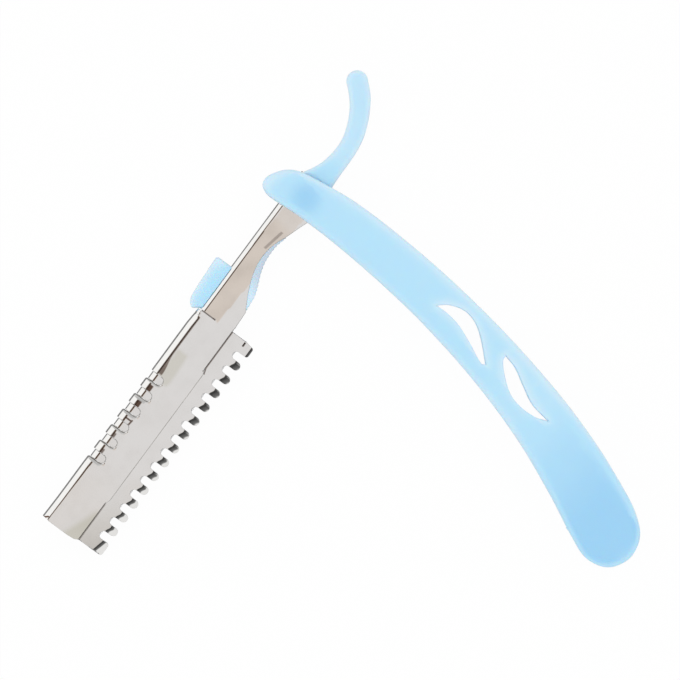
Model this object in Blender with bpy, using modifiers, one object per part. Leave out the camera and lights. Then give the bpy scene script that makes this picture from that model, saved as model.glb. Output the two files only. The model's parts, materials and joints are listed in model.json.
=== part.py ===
"""Straight razor with a replaceable blade, lying flat with its head part way open.

The handle runs along +X from the pivot, which is the Z axis. The head is drawn in its own
frame: u runs from the pivot to the tip, v from the spine to the comb, w up to the front.
"""
import math

import bmesh
import bpy
from mathutils import Matrix, Vector

MM = 0.001

# Fits
PRESS_GAP = 0.03 * MM
RUNNING_GAP = 0.05 * MM
SIDE_GAP = 0.12 * MM
SEAT_GAP = 0.3 * MM

# Blade and the stack of sheets that holds it
BLADE_LENGTH = 62.0 * MM
BLADE_WIDTH = 10.4 * MM
BLADE_THICKNESS = 0.25 * MM
BLADE_BEVEL = 0.9 * MM
BLADE_EXPOSURE = 0.25 * MM
HEEL_MARGIN = 2.7 * MM
TOE_MARGIN = 3.2 * MM
STUD_RADIUS = 0.9 * MM
STUD_INSET = 7.0 * MM
STUD_FROM_BACK = 4.8 * MM
HEAD_SHEET = 0.8 * MM
GUARD_SHEET = 0.5 * MM
LEAF_SHEET = 0.5 * MM
LEAF_GAP = 0.05 * MM

# Shank: the front sheet folded back along the spine
TANG_HALF = 1.5 * MM
TANG_END = -4.9 * MM
SPINE_V = -4.9 * MM
TANG_EDGE_V = 4.1 * MM
FOLD_RADIUS = 1.3 * MM
FOLD_INNER_RADIUS = 0.5 * MM
HEAD_START = 39.5 * MM
SLIT_WIDTH = 0.3 * MM
SLIT_END_V = 0.9 * MM
REAR_WALL_SHORT = 0.9 * MM
# Finger side of the shank in millimetres, measured from the start of the head
FINGER_EDGE = [
    (-34.3, 4.15), (-32.3, 3.4), (-30.1, 2.65), (-27.5, 1.75), (-25.0, 0.75), (-22.5, 0.2),
    (-19.5, 0.08), (-16.5, 0.5), (-13.5, 1.45), (-10.5, 2.75), (-8.1, 4.05), (-6.1, 5.2),
]

# Front plate: the middle of its comb side is a lip that reaches past the two ends
PLATE_END_V = 5.32 * MM
PLATE_LIP_V = 5.95 * MM
LIP_HEEL = 11.7 * MM
LIP_TOE = 12.4 * MM
LIP_RAMP = 1.6 * MM
LIP_CHAMFER_RUN = 1.0 * MM
LIP_CHAMFER_DROP = 0.66 * MM
# Comb-side corner of the tip in millimetres, from the end of the head and the plate's edge
TIP_CORNER = [(-0.8, 0.0), (-0.2, -1.1), (0.0, -3.3)]

# Hinge between the front plate and the rear leaf
PIN_RADIUS = 0.6 * MM
PIN_INSET = 0.3 * MM
BARREL_RADIUS = 1.5 * MM
BARREL_PROUD = 0.75 * MM
BARREL_CLEARANCE = 0.2 * MM
LEAF_LOOP_RADIUS = 1.05 * MM
LOOP_TAIL_SHORT = 0.4 * MM
LOOP_TAIL_SHEET = 0.32 * MM
LOOP_TAIL_DROP = 0.03 * MM
WINDOW_COUNT = 6
WINDOW_INSET = 20.3 * MM
WINDOW_PITCH = 5.04 * MM
WINDOW_WIDTH = 2.35 * MM
WINDOW_DEPTH = 3.05 * MM
WINDOW_ROUND = 1.1 * MM

# Guard comb
GUARD_HEEL = 0.1 * MM
GUARD_TOE = 0.75 * MM
GUARD_BACK_GAP = 0.2 * MM
CURL_START = 0.85 * MM
CURL_RADIUS = 2.95 * MM
CURL_ANGLE = math.radians(72.0)
TAB_WIDTH = 3.37 * MM
TAB_HEEL_SLANT = 0.65 * MM
TAB_SLANT_START = 0.9 * MM
NOTCH_PITCH = 4.465 * MM
NOTCH_WIDTH = 2.15 * MM
TIP_ROUND = 1.0 * MM
TAB_ROUND = 0.55 * MM
# How a corner rounds off, as shares of its size out from the flank and back from the tip
TIP_CURVE = [(0.0, 1.0), (0.3, 0.3), (1.0, -0.05)]
TAB_SLOT_INSET = 0.35 * MM
TAB_SLOT_LENGTH = 1.2 * MM
TAB_SLOT_WIDTH = 0.3 * MM
TAB_SLOT_DEPTH = 0.7 * MM

# Rear leaf
LEAF_HEEL = 1.5 * MM
LEAF_TOE = 1.0 * MM
LEAF_EDGE_SHORT = 1.0 * MM
BLADE_BACK_GAP = 1.45 * MM

# Lock slide with its thumb pad
SLIDE_SHEET = 0.8 * MM
SLIDE_LENGTH = 13.6 * MM
SLIDE_NOSE = 1.1 * MM
SLIDE_EDGE = 1.7 * MM
SLIDE_TAB = 2.5 * MM
SLIDE_TRAVEL = 5.0 * MM
RIVET_BACK = {"slide_rivet_upper": 9.7 * MM, "slide_rivet_lower": 3.1 * MM}
RIVET_FROM_SPINE = 2.6 * MM
RIVET_RADIUS = 0.75 * MM
RIVET_HEAD_RADIUS = 1.15 * MM
RIVET_CROWN_RADIUS = 0.8 * MM
RIVET_HEAD_HEIGHT = 0.4 * MM
RIVET_RIM = 0.2 * MM
RIVET_TAIL_HEIGHT = 0.22 * MM
PAD_FRONT_W = 1.2 * MM
PAD_BACK_W = -3.4 * MM
PAD_ROUND = 0.7 * MM
# Outer side of the pad in millimetres, from the start of the head and from the spine
PAD_OUTLINE = [
    (-13.5, -3.9), (-13.25, -4.35), (-12.7, -4.52), (-7.5, -4.25), (-1.5, -3.8), (-0.1, -3.35),
    (0.8, -2.5), (1.1, -1.85), (0.8, -1.2), (-0.15, -1.05),
]

# Finger grip
GRIP_SHOULDER_GAP = 0.1 * MM
GRIP_WEB_DEPTH = 1.3 * MM
GRIP_RIDGE_PITCH = 1.1 * MM
GRIP_RIDGE_HEIGHT = 0.28 * MM
GRIP_STEPS_PER_RIDGE = 4
# How far the grip stands past the sheet in millimetres, at stations from the start of the head
GRIP_PROUD = [
    (-27.9, 0.25), (-25.5, 0.65), (-22.5, 1.15), (-19.5, 1.5), (-16.5, 1.95), (-13.5, 2.3),
    (-11.0, 2.1), (-9.0, 1.35), (-6.7, 0.3),
]

# Tail, in millimetres out from the end of the tang and across it
TAIL_HALF_DEPTH = 2.1 * MM
TAIL_EDGE_ROUND = 1.2 * MM
TONGUE_LENGTH = 8.0 * MM
TONGUE_LOW_V = -0.8 * MM
TONGUE_HIGH_V = 2.4 * MM
TAIL_TIP = (-27.35, -7.3)
TAIL_TIP_RADIUS = 2.8 * MM
TAIL_SPINE_SIDE = [
    (-0.1, -4.4), (-3.2, -2.75), (-6.3, -1.75), (-10.1, -1.3), (-13.7, -1.65),
    (-17.8, -3.15), (-21.1, -5.1), (-23.4, -7.1), (-25.05, -8.9),
]
TAIL_COMB_SIDE = [
    (-29.25, -5.25), (-26.5, -2.35), (-23.2, -0.1), (-20.1, 1.5), (-15.9, 3.0),
    (-11.5, 3.6), (-7.8, 3.7), (-4.1, 3.75), (-0.1, 4.0),
]

# Handle: two scales on a spacer at the far end
SLOT_WIDTH = 5.4 * MM
SCALE_THICKNESS = 2.2 * MM
SCALE_EDGE_ROUND = 1.5 * MM
SPACER_INSET = 0.35 * MM
SPACER_CLEARANCE = 1.2 * MM
SPACER_REACH = 16.46 * MM
LOCATING_PIN_RADIUS = 1.0 * MM
LOCATING_PIN_SINK = 1.2 * MM
# Each locating pin's distance past the inner end of the spacer, and its angle from the pivot
LOCATING_PINS = {"locating_pin_near": (5.8 * MM, math.radians(-0.3)),
                 "locating_pin_far": (8.5 * MM, math.radians(-3.4))}
# Outline in millimetres: the convex edge from the nose to the far end, then the concave edge back
HANDLE_EDGE = [
    (-10.9, -4.0), (-10.2, -1.3), (-8.6, 1.4), (-6.0, 3.5), (-1.4, 5.15), (9.0, 8.2),
    (24.0, 10.6), (42.0, 12.25), (62.0, 12.75), (82.0, 11.85), (98.0, 9.8), (110.0, 7.2),
    (118.0, 4.8), (123.6, 1.2), (125.8, -4.6), (123.6, -10.3), (118.2, -12.75),
    (112.0, -11.7), (100.0, -8.15), (84.0, -4.3), (66.0, -1.85), (46.0, -0.95),
    (30.0, -1.5), (14.0, -2.95), (2.0, -4.75), (-3.5, -6.0), (-7.5, -6.75), (-10.0, -6.0),
]
# Two leaf-shaped windows, each as the two smooth sides that meet at its tips
LEAF_WINDOWS = [
    [
        [(43.8, 4.9), (45.9, 7.3), (49.6, 9.15), (53.6, 9.15), (58.0, 7.2), (63.7, 3.4)],
        [(63.7, 3.4), (62.6, 2.75), (57.0, 4.25), (51.2, 5.5), (46.9, 5.45), (43.8, 4.9)],
    ],
    [
        [(65.6, 8.75), (66.1, 7.3), (69.6, 4.7), (73.7, 2.7), (78.0, 2.3), (82.4, 3.2),
         (85.5, 4.85)],
        [(85.5, 4.85), (79.5, 4.95), (74.3, 6.65), (69.6, 8.35), (65.6, 8.75)],
    ],
]

# Pivot
PIVOT_RADIUS = 1.5 * MM
PIVOT_SINK = 1.4 * MM
WASHER_RADIUS = 4.0 * MM
BUSH_RADIUS = 3.2 * MM
WASHER_GAP = 0.02 * MM
CLOSED_LEAN = math.radians(-3.2)
OPEN_AT_REST = math.radians(77.3)

# Facets of round shapes
WIDE_SIDES = 28
NARROW_SIDES = 16
ROLL_SIDES = 20
QUARTER_SIDES = 6
INNER_QUARTER_SIDES = 3
SLOT_END_SIDES = 8

# Levels above and below the middle of the slot
MIDDLE_Z = SCALE_THICKNESS + SLOT_WIDTH / 2
PLATE_BACK_W = TANG_HALF - HEAD_SHEET
GUARD_BACK_W = PLATE_BACK_W - GUARD_SHEET
BLADE_BACK_W = GUARD_BACK_W - BLADE_THICKNESS
LEAF_FRONT_W = BLADE_BACK_W - LEAF_GAP
LEAF_BACK_W = LEAF_FRONT_W - LEAF_SHEET
SLIDE_FRONT_W = -TANG_HALF - RUNNING_GAP
SLIDE_BACK_W = SLIDE_FRONT_W - SLIDE_SHEET

# Lines across the head, from the spine to the comb
PIN_V = SPINE_V - BARREL_PROUD + BARREL_RADIUS
WINDOW_END_V = PIN_V + WINDOW_DEPTH
GUARD_BACK_V = WINDOW_END_V + GUARD_BACK_GAP
BLADE_BACK_V = PIN_V + BARREL_RADIUS + BLADE_BACK_GAP
BLADE_EDGE_V = BLADE_BACK_V + BLADE_WIDTH
NOTCH_ROOT_V = BLADE_EDGE_V - BLADE_EXPOSURE
CURL_START_V = NOTCH_ROOT_V + CURL_START
TOOTH_TIP_V = CURL_START_V + CURL_RADIUS * math.sin(CURL_ANGLE)
LEAF_EDGE_V = BLADE_EDGE_V - LEAF_EDGE_SHORT
RIVET_V = SPINE_V + RIVET_FROM_SPINE
SLIDE_EDGE_V = RIVET_V + SLIDE_EDGE
SLIDE_TAB_V = SPINE_V - SLIDE_TAB

# Lines along the head, from the pivot to the tip
BLADE_START = HEAD_START + HEEL_MARGIN
HEAD_END = BLADE_START + BLADE_LENGTH + TOE_MARGIN
GUARD_START = HEAD_START - GUARD_HEEL
GUARD_END = HEAD_END - GUARD_TOE
LEAF_START = HEAD_START + LEAF_HEEL
LEAF_END = HEAD_END - LEAF_TOE
SLIDE_END = HEAD_START + SLIDE_NOSE
SLIDE_START = SLIDE_END - SLIDE_LENGTH
RIVETS = {name: HEAD_START - back for name, back in RIVET_BACK.items()}
REAR_WALL_END = HEAD_START - REAR_WALL_SHORT
SHEET_OVERLAP = SLIT_WIDTH / 2
TONGUE_END = TANG_END - TONGUE_LENGTH
HEAD_REACH = math.hypot(HEAD_END, TOOTH_TIP_V)
SPACER_START = HEAD_REACH + SPACER_CLEARANCE
HANDLE_STRETCH = (SPACER_START + SPACER_REACH) / (max(x for x, y in HANDLE_EDGE) * MM)
HEAD_ANGLE = CLOSED_LEAN - OPEN_AT_REST
FAR = 20.0 * MM

STEEL = ("polished_steel", (0.80, 0.79, 0.77), 0.16, 1.0)
BLADE_STEEL = ("blade_steel", (0.70, 0.70, 0.70), 0.22, 1.0)
BLUE = ("light_blue_plastic", (0.47, 0.76, 0.94), 0.42, 0.0)
WHITE = ("white_nylon", (0.86, 0.87, 0.86), 0.5, 0.0)


def scaled(points):
    """Points given in millimetres, in metres."""
    return [(x * MM, y * MM) for x, y in points]


def smooth(points, per_span=4, closed=False):
    """Points along a smooth curve through the given ones."""
    count = len(points)
    spans = count if closed else count - 1
    line = []
    for i in range(spans):
        if closed:
            a, b, c, d = (Vector(points[(i + k) % count]) for k in (-1, 0, 1, 2))
        else:
            b, c = Vector(points[i]), Vector(points[i + 1])
            a = Vector(points[i - 1]) if i else b + (b - c)
            d = Vector(points[i + 2]) if i + 2 < count else c + (c - b)
        reach = (c - b).length
        leave = (c - a) * reach / ((b - a).length + reach)
        arrive = (d - b) * reach / ((d - c).length + reach)
        for k in range(per_span):
            t = k / per_span
            h = (1 + 2 * t) * (1 - t) ** 2, t * (1 - t) ** 2, t * t * (3 - 2 * t), t * t * (t - 1)
            point = b * h[0] + leave * h[1] + c * h[2] + arrive * h[3]
            line.append((point.x, point.y))
    if not closed:
        line.append(tuple(points[-1]))
    return line


def arc(centre, radius, start, end, steps):
    """Points on an arc, angles in radians."""
    angles = [start + (end - start) * k / steps for k in range(steps + 1)]
    return [(centre[0] + radius * math.cos(a), centre[1] + radius * math.sin(a)) for a in angles]


def circle(centre, radius, steps=WIDE_SIDES):
    return arc(centre, radius, 0.0, math.tau, steps)[:-1]


def normals(line, closed=False):
    """Left-hand unit normals of a line of points."""
    count = len(line)
    found = []
    for i in range(count):
        before = line[i - 1] if closed or i else line[i]
        after = line[(i + 1) % count] if closed or i < count - 1 else line[i]
        along = (Vector(after) - Vector(before)).normalized()
        found.append((-along.y, along.x))
    return found


def offset(line, distance, closed=False):
    """The line moved to its left by a distance."""
    return [(p[0] + n[0] * distance, p[1] + n[1] * distance)
            for p, n in zip(line, normals(line, closed))]


def clear_scene():
    for ob in list(bpy.data.objects):
        bpy.data.objects.remove(ob, do_unlink=True)


def new_collection(name):
    collection = bpy.data.collections.new(name)
    bpy.context.scene.collection.children.link(collection)
    return collection


clear_scene()
RAZOR = new_collection("straight_razor")
CUTTERS = new_collection("cutters")


def new_frame(name, location=(0, 0, 0), angle=0.0, parent=None):
    frame = bpy.data.objects.new(name, None)
    frame.location = location
    frame.rotation_euler.z = angle
    frame.parent = parent
    RAZOR.objects.link(frame)
    return frame


HANDLE_FRAME = new_frame("handle_frame", (0, 0, MIDDLE_Z))
HEAD_FRAME = new_frame("head_frame", (0, 0, MIDDLE_Z), HEAD_ANGLE)
LEAF_FRAME = new_frame("leaf_frame", (0, PIN_V, 0), parent=HEAD_FRAME)
SLIDE_FRAME = new_frame("slide_frame", (0, RIVET_V, 0), parent=HEAD_FRAME)


def finish_material(finish):
    name, colour, roughness, metallic = finish
    material = bpy.data.materials.get(name)
    if material is None:
        material = bpy.data.materials.new(name)
        material.use_nodes = True
        shader = material.node_tree.nodes["Principled BSDF"]
        shader.inputs["Base Color"].default_value = (*colour, 1.0)
        shader.inputs["Roughness"].default_value = roughness
        shader.inputs["Metallic"].default_value = metallic
        material.diffuse_color = (*colour, 1.0)
    return material


def as_piece(name, mesh, frame, finish=None, at=None):
    """Put a mesh in the scene, as a finished piece or, with no finish, as a cutter.

    A mesh is drawn in the handle's or the head's coordinates, or round its own axis at a place.
    """
    mesh.name = name
    piece = bpy.data.objects.new(name, mesh)
    piece.parent = frame
    origin = frame.location if frame.parent else Vector()
    if at is None:
        mesh.transform(Matrix.Translation(-origin))
    else:
        piece.location = Vector((*at, 0)) - origin
    if finish is None:
        CUTTERS.objects.link(piece)
        piece.hide_render = True
        piece.display_type = "WIRE"
    else:
        RAZOR.objects.link(piece)
        mesh.materials.append(finish_material(finish))
        mesh.shade_smooth()
        mesh.set_sharp_from_angle(angle=math.radians(35))
    return piece


# Turns a shape drawn in X and Y, with its thickness along Z, so that its thickness lies along X
Z_TO_X = Matrix(((0, 0, 1, 0), (1, 0, 0, 0), (0, 1, 0, 0), (0, 0, 0, 1)))


def prism_mesh(loops, low, high, along="Z"):
    """A filled outline, with any holes, given its thickness along Z, or along X."""
    curve = bpy.data.curves.new("outline", "CURVE")
    curve.dimensions = "2D"
    curve.fill_mode = "BOTH"
    curve.extrude = (high - low) / 2
    for loop in loops:
        spline = curve.splines.new("POLY")
        spline.points.add(len(loop) - 1)
        for point, (x, y) in zip(spline.points, loop):
            point.co = (x, y, 0, 1)
        spline.use_cyclic_u = True
    guide = bpy.data.objects.new("outline", curve)
    CUTTERS.objects.link(guide)
    depsgraph = bpy.context.evaluated_depsgraph_get()
    mesh = bpy.data.meshes.new_from_object(guide.evaluated_get(depsgraph))
    mesh.transform(Matrix.Translation((0, 0, (low + high) / 2)))
    if along == "X":
        mesh.transform(Z_TO_X)
    bpy.data.objects.remove(guide)
    bpy.data.curves.remove(curve)
    bm = bmesh.new()
    bm.from_mesh(mesh)
    bmesh.ops.remove_doubles(bm, verts=bm.verts, dist=0.00001 * MM)
    bmesh.ops.dissolve_limit(bm, angle_limit=math.radians(0.05), verts=bm.verts, edges=bm.edges)
    bmesh.ops.recalc_face_normals(bm, faces=bm.faces)
    bm.to_mesh(mesh)
    bm.free()
    return mesh


def round_edges(mesh, width, segments, chosen):
    """Round the edges whose two ends both pass the test."""
    bm = bmesh.new()
    bm.from_mesh(mesh)
    edges = [e for e in bm.edges if e.calc_face_angle(0) > math.radians(40)
             and chosen(e.verts[0].co) and chosen(e.verts[1].co)]
    bmesh.ops.bevel(bm, geom=edges, offset=width, segments=segments, profile=0.5,
                    affect="EDGES", clamp_overlap=True)
    bm.to_mesh(mesh)
    bm.free()
    return mesh


def placed_mesh(bm, name):
    mesh = bpy.data.meshes.new(name)
    bm.to_mesh(mesh)
    bm.free()
    return mesh


def cylinder_mesh(radius, low, high, at=(0, 0), along="Z", sides=WIDE_SIDES):
    """A cylinder along Z at (x, y), or along X at (y, z)."""
    bm = bmesh.new()
    place = Matrix.Translation((*at, (low + high) / 2))
    if along == "X":
        place = Z_TO_X @ place
    bmesh.ops.create_cone(bm, cap_ends=True, segments=sides, radius1=radius, radius2=radius,
                          depth=high - low, matrix=place)
    return placed_mesh(bm, "cylinder")


def box_mesh(low, high):
    bm = bmesh.new()
    middle = (Vector(low) + Vector(high)) / 2
    size = Vector(high) - Vector(low)
    bmesh.ops.create_cube(bm, size=1.0, matrix=Matrix.LocRotScale(middle, None, size))
    return placed_mesh(bm, "box")


def turned(name, profile, frame, at, finish, steps=NARROW_SIDES):
    """A turned piece: a profile of radius and height, swept round."""
    mesh = bpy.data.meshes.new(name)
    verts = [(r, 0, z) for r, z in profile]
    mesh.from_pydata(verts, [(i, i + 1) for i in range(len(verts) - 1)], [])
    piece = as_piece(name, mesh, frame, finish, at)
    screw = piece.modifiers.new("turn", "SCREW")
    screw.steps = steps
    screw.render_steps = steps
    screw.use_merge_vertices = True
    screw.merge_threshold = 0.01 * MM
    return piece


def combine(piece, other, operation):
    step = piece.modifiers.new(operation.lower(), "BOOLEAN")
    step.solver = "EXACT"
    step.operation = operation
    step.object = other


def cut(piece, name, mesh, frame=None):
    combine(piece, as_piece(name, mesh, frame or piece.parent), "DIFFERENCE")


def join(piece, name, mesh):
    combine(piece, as_piece(name, mesh, piece.parent), "UNION")


# Handle

def along_handle(points):
    """Handle points given in millimetres, stretched to the handle's reach."""
    return [(x * HANDLE_STRETCH, y) for x, y in scaled(points)]


HANDLE_LINE = smooth(along_handle(HANDLE_EDGE), 3, closed=True)


def locating_places():
    return {name: ((SPACER_START + past) * math.cos(angle), (SPACER_START + past) * math.sin(angle))
            for name, (past, angle) in LOCATING_PINS.items()}


def handle_scale(name, side):
    """One scale; side is 1 for the front and -1 for the rear."""
    inner, outer = SLOT_WIDTH / 2, SLOT_WIDTH / 2 + SCALE_THICKNESS
    low, high = sorted((side * inner, side * outer))
    mesh = prism_mesh([HANDLE_LINE], low, high)
    round_edges(mesh, SCALE_EDGE_ROUND, 2, lambda co: abs(co.z - side * outer) < 0.01 * MM)
    scale = as_piece(name, mesh, HANDLE_FRAME, BLUE)
    for number, sides in enumerate(LEAF_WINDOWS):
        loop = [p for stretch in sides for p in smooth(along_handle(stretch), 3)[:-1]]
        cut(scale, f"{name}_window_{number}", prism_mesh([loop], -FAR, FAR))
    low, high = sorted((0.0, side * (inner + PIVOT_SINK + PRESS_GAP)))
    cut(scale, f"{name}_pivot_hole", cylinder_mesh(PIVOT_RADIUS + PRESS_GAP, low, high))
    low, high = sorted((0.0, side * (inner + LOCATING_PIN_SINK + PRESS_GAP)))
    for pin, at in locating_places().items():
        cut(scale, f"{name}_{pin}_hole",
            cylinder_mesh(LOCATING_PIN_RADIUS + PRESS_GAP, low, high, at, sides=NARROW_SIDES))


def handle_spacer():
    """The wedge that holds the scales apart past the reach of the folded head."""
    inset = offset(HANDLE_LINE, -SPACER_INSET, closed=True)
    outer = [p for p in inset if math.hypot(*p) > SPACER_START + SPACER_INSET]
    first, last = outer[0], outer[-1]
    end, start = math.atan2(first[1], first[0]), math.atan2(last[1], last[0])
    loop = outer + arc((0, 0), SPACER_START, start, end, 10)
    half = SLOT_WIDTH / 2
    spacer = as_piece("handle_end_spacer", prism_mesh([loop], -half, half), HANDLE_FRAME, BLUE)
    for name, at in locating_places().items():
        cut(spacer, f"{name}_hole",
            cylinder_mesh(LOCATING_PIN_RADIUS + PRESS_GAP, -FAR, FAR, at, sides=NARROW_SIDES))


def locating_pins():
    half = SLOT_WIDTH / 2 + LOCATING_PIN_SINK
    for name, at in locating_places().items():
        mesh = cylinder_mesh(LOCATING_PIN_RADIUS, -half, half, at, sides=NARROW_SIDES)
        as_piece(name, mesh, HANDLE_FRAME, WHITE)


def pivot():
    half = SLOT_WIDTH / 2 + PIVOT_SINK
    as_piece("pivot_pin", cylinder_mesh(PIVOT_RADIUS, -half, half), HANDLE_FRAME, STEEL)
    bore = circle((0, 0), PIVOT_RADIUS + RUNNING_GAP)
    low, high = TANG_HALF + WASHER_GAP, SLOT_WIDTH / 2 - WASHER_GAP
    ring = [circle((0, 0), WASHER_RADIUS), bore]
    as_piece("pivot_washer_front", prism_mesh(ring, low, high), HANDLE_FRAME, WHITE)
    as_piece("pivot_washer_rear", prism_mesh(ring, -high, -low), HANDLE_FRAME, WHITE)
    inside = PLATE_BACK_W - WASHER_GAP
    bush = [circle((0, 0), BUSH_RADIUS), bore]
    as_piece("tang_bush", prism_mesh(bush, -inside, inside), HEAD_FRAME, WHITE)


# Head

def from_head(points):
    """Points in millimetres measured along the head from its start, in metres from the pivot."""
    return [(HEAD_START + x, y) for x, y in scaled(points)]


FINGER_LINE = smooth(from_head(FINGER_EDGE), 3)


def comb_side():
    """Comb side of the sheet, from the shank round to the corner of the tip."""
    lip = HEAD_START + LIP_HEEL, HEAD_END - LIP_TOE
    plate = [(HEAD_START, PLATE_END_V), (lip[0], PLATE_END_V), (lip[0] + LIP_RAMP, PLATE_LIP_V),
             (lip[1] - LIP_RAMP, PLATE_LIP_V), (lip[1], PLATE_END_V)]
    corner = [(HEAD_END + x, PLATE_END_V + y) for x, y in scaled(TIP_CORNER)]
    return FINGER_LINE + plate + corner


def rolled_section(edge_v, low, high, radius):
    """A flat strip from low to high that rolls into a tube round the hinge pin."""
    upper = math.asin(min(1.0, high / radius))
    lower = math.asin(low / radius)
    outside = arc((PIN_V, 0), radius, upper, lower + math.tau, ROLL_SIDES)
    outline = [(edge_v, high)] + outside + [(edge_v, low)]
    return [outline, circle((PIN_V, 0), PIN_RADIUS + RUNNING_GAP, NARROW_SIDES)]


def channel_section(edge_v):
    """The folded shank: two walls joined by a round fold along the spine."""
    quarter = math.pi / 2
    centre_v = SPINE_V + FOLD_RADIUS
    rise = TANG_HALF - FOLD_RADIUS
    outside = arc((centre_v, rise), FOLD_RADIUS, quarter, 2 * quarter, QUARTER_SIDES)
    outside += arc((centre_v, -rise), FOLD_RADIUS, 2 * quarter, 3 * quarter, QUARTER_SIDES)
    inner_v = SPINE_V + HEAD_SHEET + FOLD_INNER_RADIUS
    inner_rise = PLATE_BACK_W - FOLD_INNER_RADIUS
    turn = FOLD_INNER_RADIUS, 3 * quarter, 2 * quarter, INNER_QUARTER_SIDES
    inside = arc((inner_v, -inner_rise), *turn)
    turn = FOLD_INNER_RADIUS, 2 * quarter, quarter, INNER_QUARTER_SIDES
    inside += arc((inner_v, inner_rise), *turn)
    outline = [(edge_v, TANG_HALF)] + outside + [(edge_v, -TANG_HALF), (edge_v, -PLATE_BACK_W)]
    return [outline + inside + [(edge_v, PLATE_BACK_W)]]


def window_loop(start):
    """A notch that is open past the barrel and round at its other end."""
    half = WINDOW_WIDTH / 2
    end_v = WINDOW_END_V - WINDOW_ROUND
    unit = arc((0, 0), 1.0, 0.0, math.pi, QUARTER_SIDES)
    curve = [(start + half + half * x, end_v + WINDOW_ROUND * y) for x, y in unit]
    return curve + [(start, -FAR), (start + WINDOW_WIDTH, -FAR)]


def window_starts():
    return [HEAD_START + WINDOW_INSET + k * WINDOW_PITCH for k in range(WINDOW_COUNT)]


def slot_loop(start, end, v, radius):
    quarter = math.pi / 2
    far_end = arc((end, v), radius, -quarter, quarter, SLOT_END_SIDES)
    return far_end + arc((start, v), radius, quarter, 3 * quarter, SLOT_END_SIDES)


def blade_head():
    """Shank, front plate and rolled barrel from one sheet."""
    joint = HEAD_START + SHEET_OVERLAP
    section = rolled_section(FAR, PLATE_BACK_W, TANG_HALF, BARREL_RADIUS)
    head = as_piece("blade_head", prism_mesh(section, HEAD_START, HEAD_END, "X"), HEAD_FRAME, STEEL)
    join(head, "shank", prism_mesh(channel_section(FAR), TONGUE_END, joint, "X"))
    behind = TONGUE_END - FAR
    line = comb_side()
    beyond = HEAD_END + FAR
    trim = [(behind, 2 * FAR), (behind, TANG_EDGE_V)] + line + [(beyond, line[-1][1]), (beyond, 2 * FAR)]
    cut(head, "comb_side_trim", prism_mesh([trim], -FAR, FAR))
    cut(head, "spine_slit", box_mesh((HEAD_START, -FAR, -FAR), (HEAD_START + SLIT_WIDTH, SLIT_END_V, FAR)))
    cut(head, "rear_wall_end", box_mesh((REAR_WALL_END, -FAR, -FAR), (joint + SIDE_GAP, FAR, 0)))
    for side, (near, far) in {"low": (-FAR, TONGUE_LOW_V), "high": (TONGUE_HIGH_V, FAR)}.items():
        cut(head, f"tongue_{side}", box_mesh((behind, near, -FAR), (TANG_END, far, FAR)))
    for number, start in enumerate(window_starts()):
        cut(head, f"hinge_window_{number}", prism_mesh([window_loop(start)], -FAR, FAR))
    slope = LIP_CHAMFER_DROP / LIP_CHAMFER_RUN
    wedge = [(PLATE_LIP_V - LIP_CHAMFER_RUN, TANG_HALF), (PLATE_LIP_V + FAR, TANG_HALF + FAR),
             (PLATE_LIP_V + FAR, TANG_HALF - slope * (LIP_CHAMFER_RUN + FAR))]
    lip = HEAD_START + LIP_HEEL + LIP_RAMP, HEAD_END - LIP_TOE - LIP_RAMP
    cut(head, "lip_chamfer", prism_mesh([wedge], *lip, "X"))
    cut(head, "pivot_bore", cylinder_mesh(PIVOT_RADIUS + RUNNING_GAP, -FAR, FAR))
    for name, station in RIVETS.items():
        loop = slot_loop(station - SLIDE_TRAVEL, station, RIVET_V, RIVET_RADIUS + RUNNING_GAP)
        cut(head, f"{name}_slot", prism_mesh([loop], -FAR, 0))


def hinge_pin():
    ends = HEAD_START + SLIT_WIDTH + PIN_INSET, HEAD_END - PIN_INSET
    mesh = cylinder_mesh(PIN_RADIUS, *ends, (PIN_V, 0), "X", NARROW_SIDES)
    as_piece("hinge_pin", mesh, HEAD_FRAME, STEEL)


def guard_section():
    """Flat strip whose comb side curls back towards the rear."""
    centre = (CURL_START_V, PLATE_BACK_W - CURL_RADIUS)
    quarter = math.pi / 2
    outer = arc(centre, CURL_RADIUS, quarter, quarter - CURL_ANGLE, QUARTER_SIDES)
    inner = arc(centre, CURL_RADIUS - GUARD_SHEET, quarter - CURL_ANGLE, quarter, QUARTER_SIDES)
    return [[(GUARD_BACK_V, PLATE_BACK_W)] + outer + inner + [(GUARD_BACK_V, GUARD_BACK_W)]]


def notch_loop(middle):
    """A round-bottomed notch that flares where it rounds the tooth tips."""
    half = NOTCH_WIDTH / 2
    flare = [(half + out * TIP_ROUND, TOOTH_TIP_V - back * TIP_ROUND) for out, back in TIP_CURVE]
    flare.append((half + TIP_ROUND, FAR))
    root = arc((0, NOTCH_ROOT_V + half), half, 0, -math.pi, SLOT_END_SIDES)
    right = [(middle + x, v) for x, v in reversed(flare)]
    left = [(middle - x, v) for x, v in flare]
    return right + [(middle + x, v) for x, v in root] + left


def notch_middles():
    """Notches at their pitch, as many as fit between the two end tabs."""
    first = GUARD_START + TAB_WIDTH + NOTCH_WIDTH / 2
    room = GUARD_END - TAB_WIDTH - NOTCH_WIDTH / 2 - first
    return [first + number * NOTCH_PITCH for number in range(int(room / NOTCH_PITCH) + 1)]


def end_corner_loop(end, outward, slant=0.0):
    """A rounded outer corner for an end tab of the comb, whose side may slant inwards."""
    curve = [(end - outward * (slant + side * TAB_ROUND), TOOTH_TIP_V - back * TAB_ROUND)
             for side, back in TIP_CURVE]
    slant_start = NOTCH_ROOT_V + TAB_SLANT_START
    return curve + [(end - outward * (slant + TAB_ROUND), FAR), (end + outward * FAR, FAR),
                    (end + outward * FAR, slant_start), (end, slant_start)]


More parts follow.
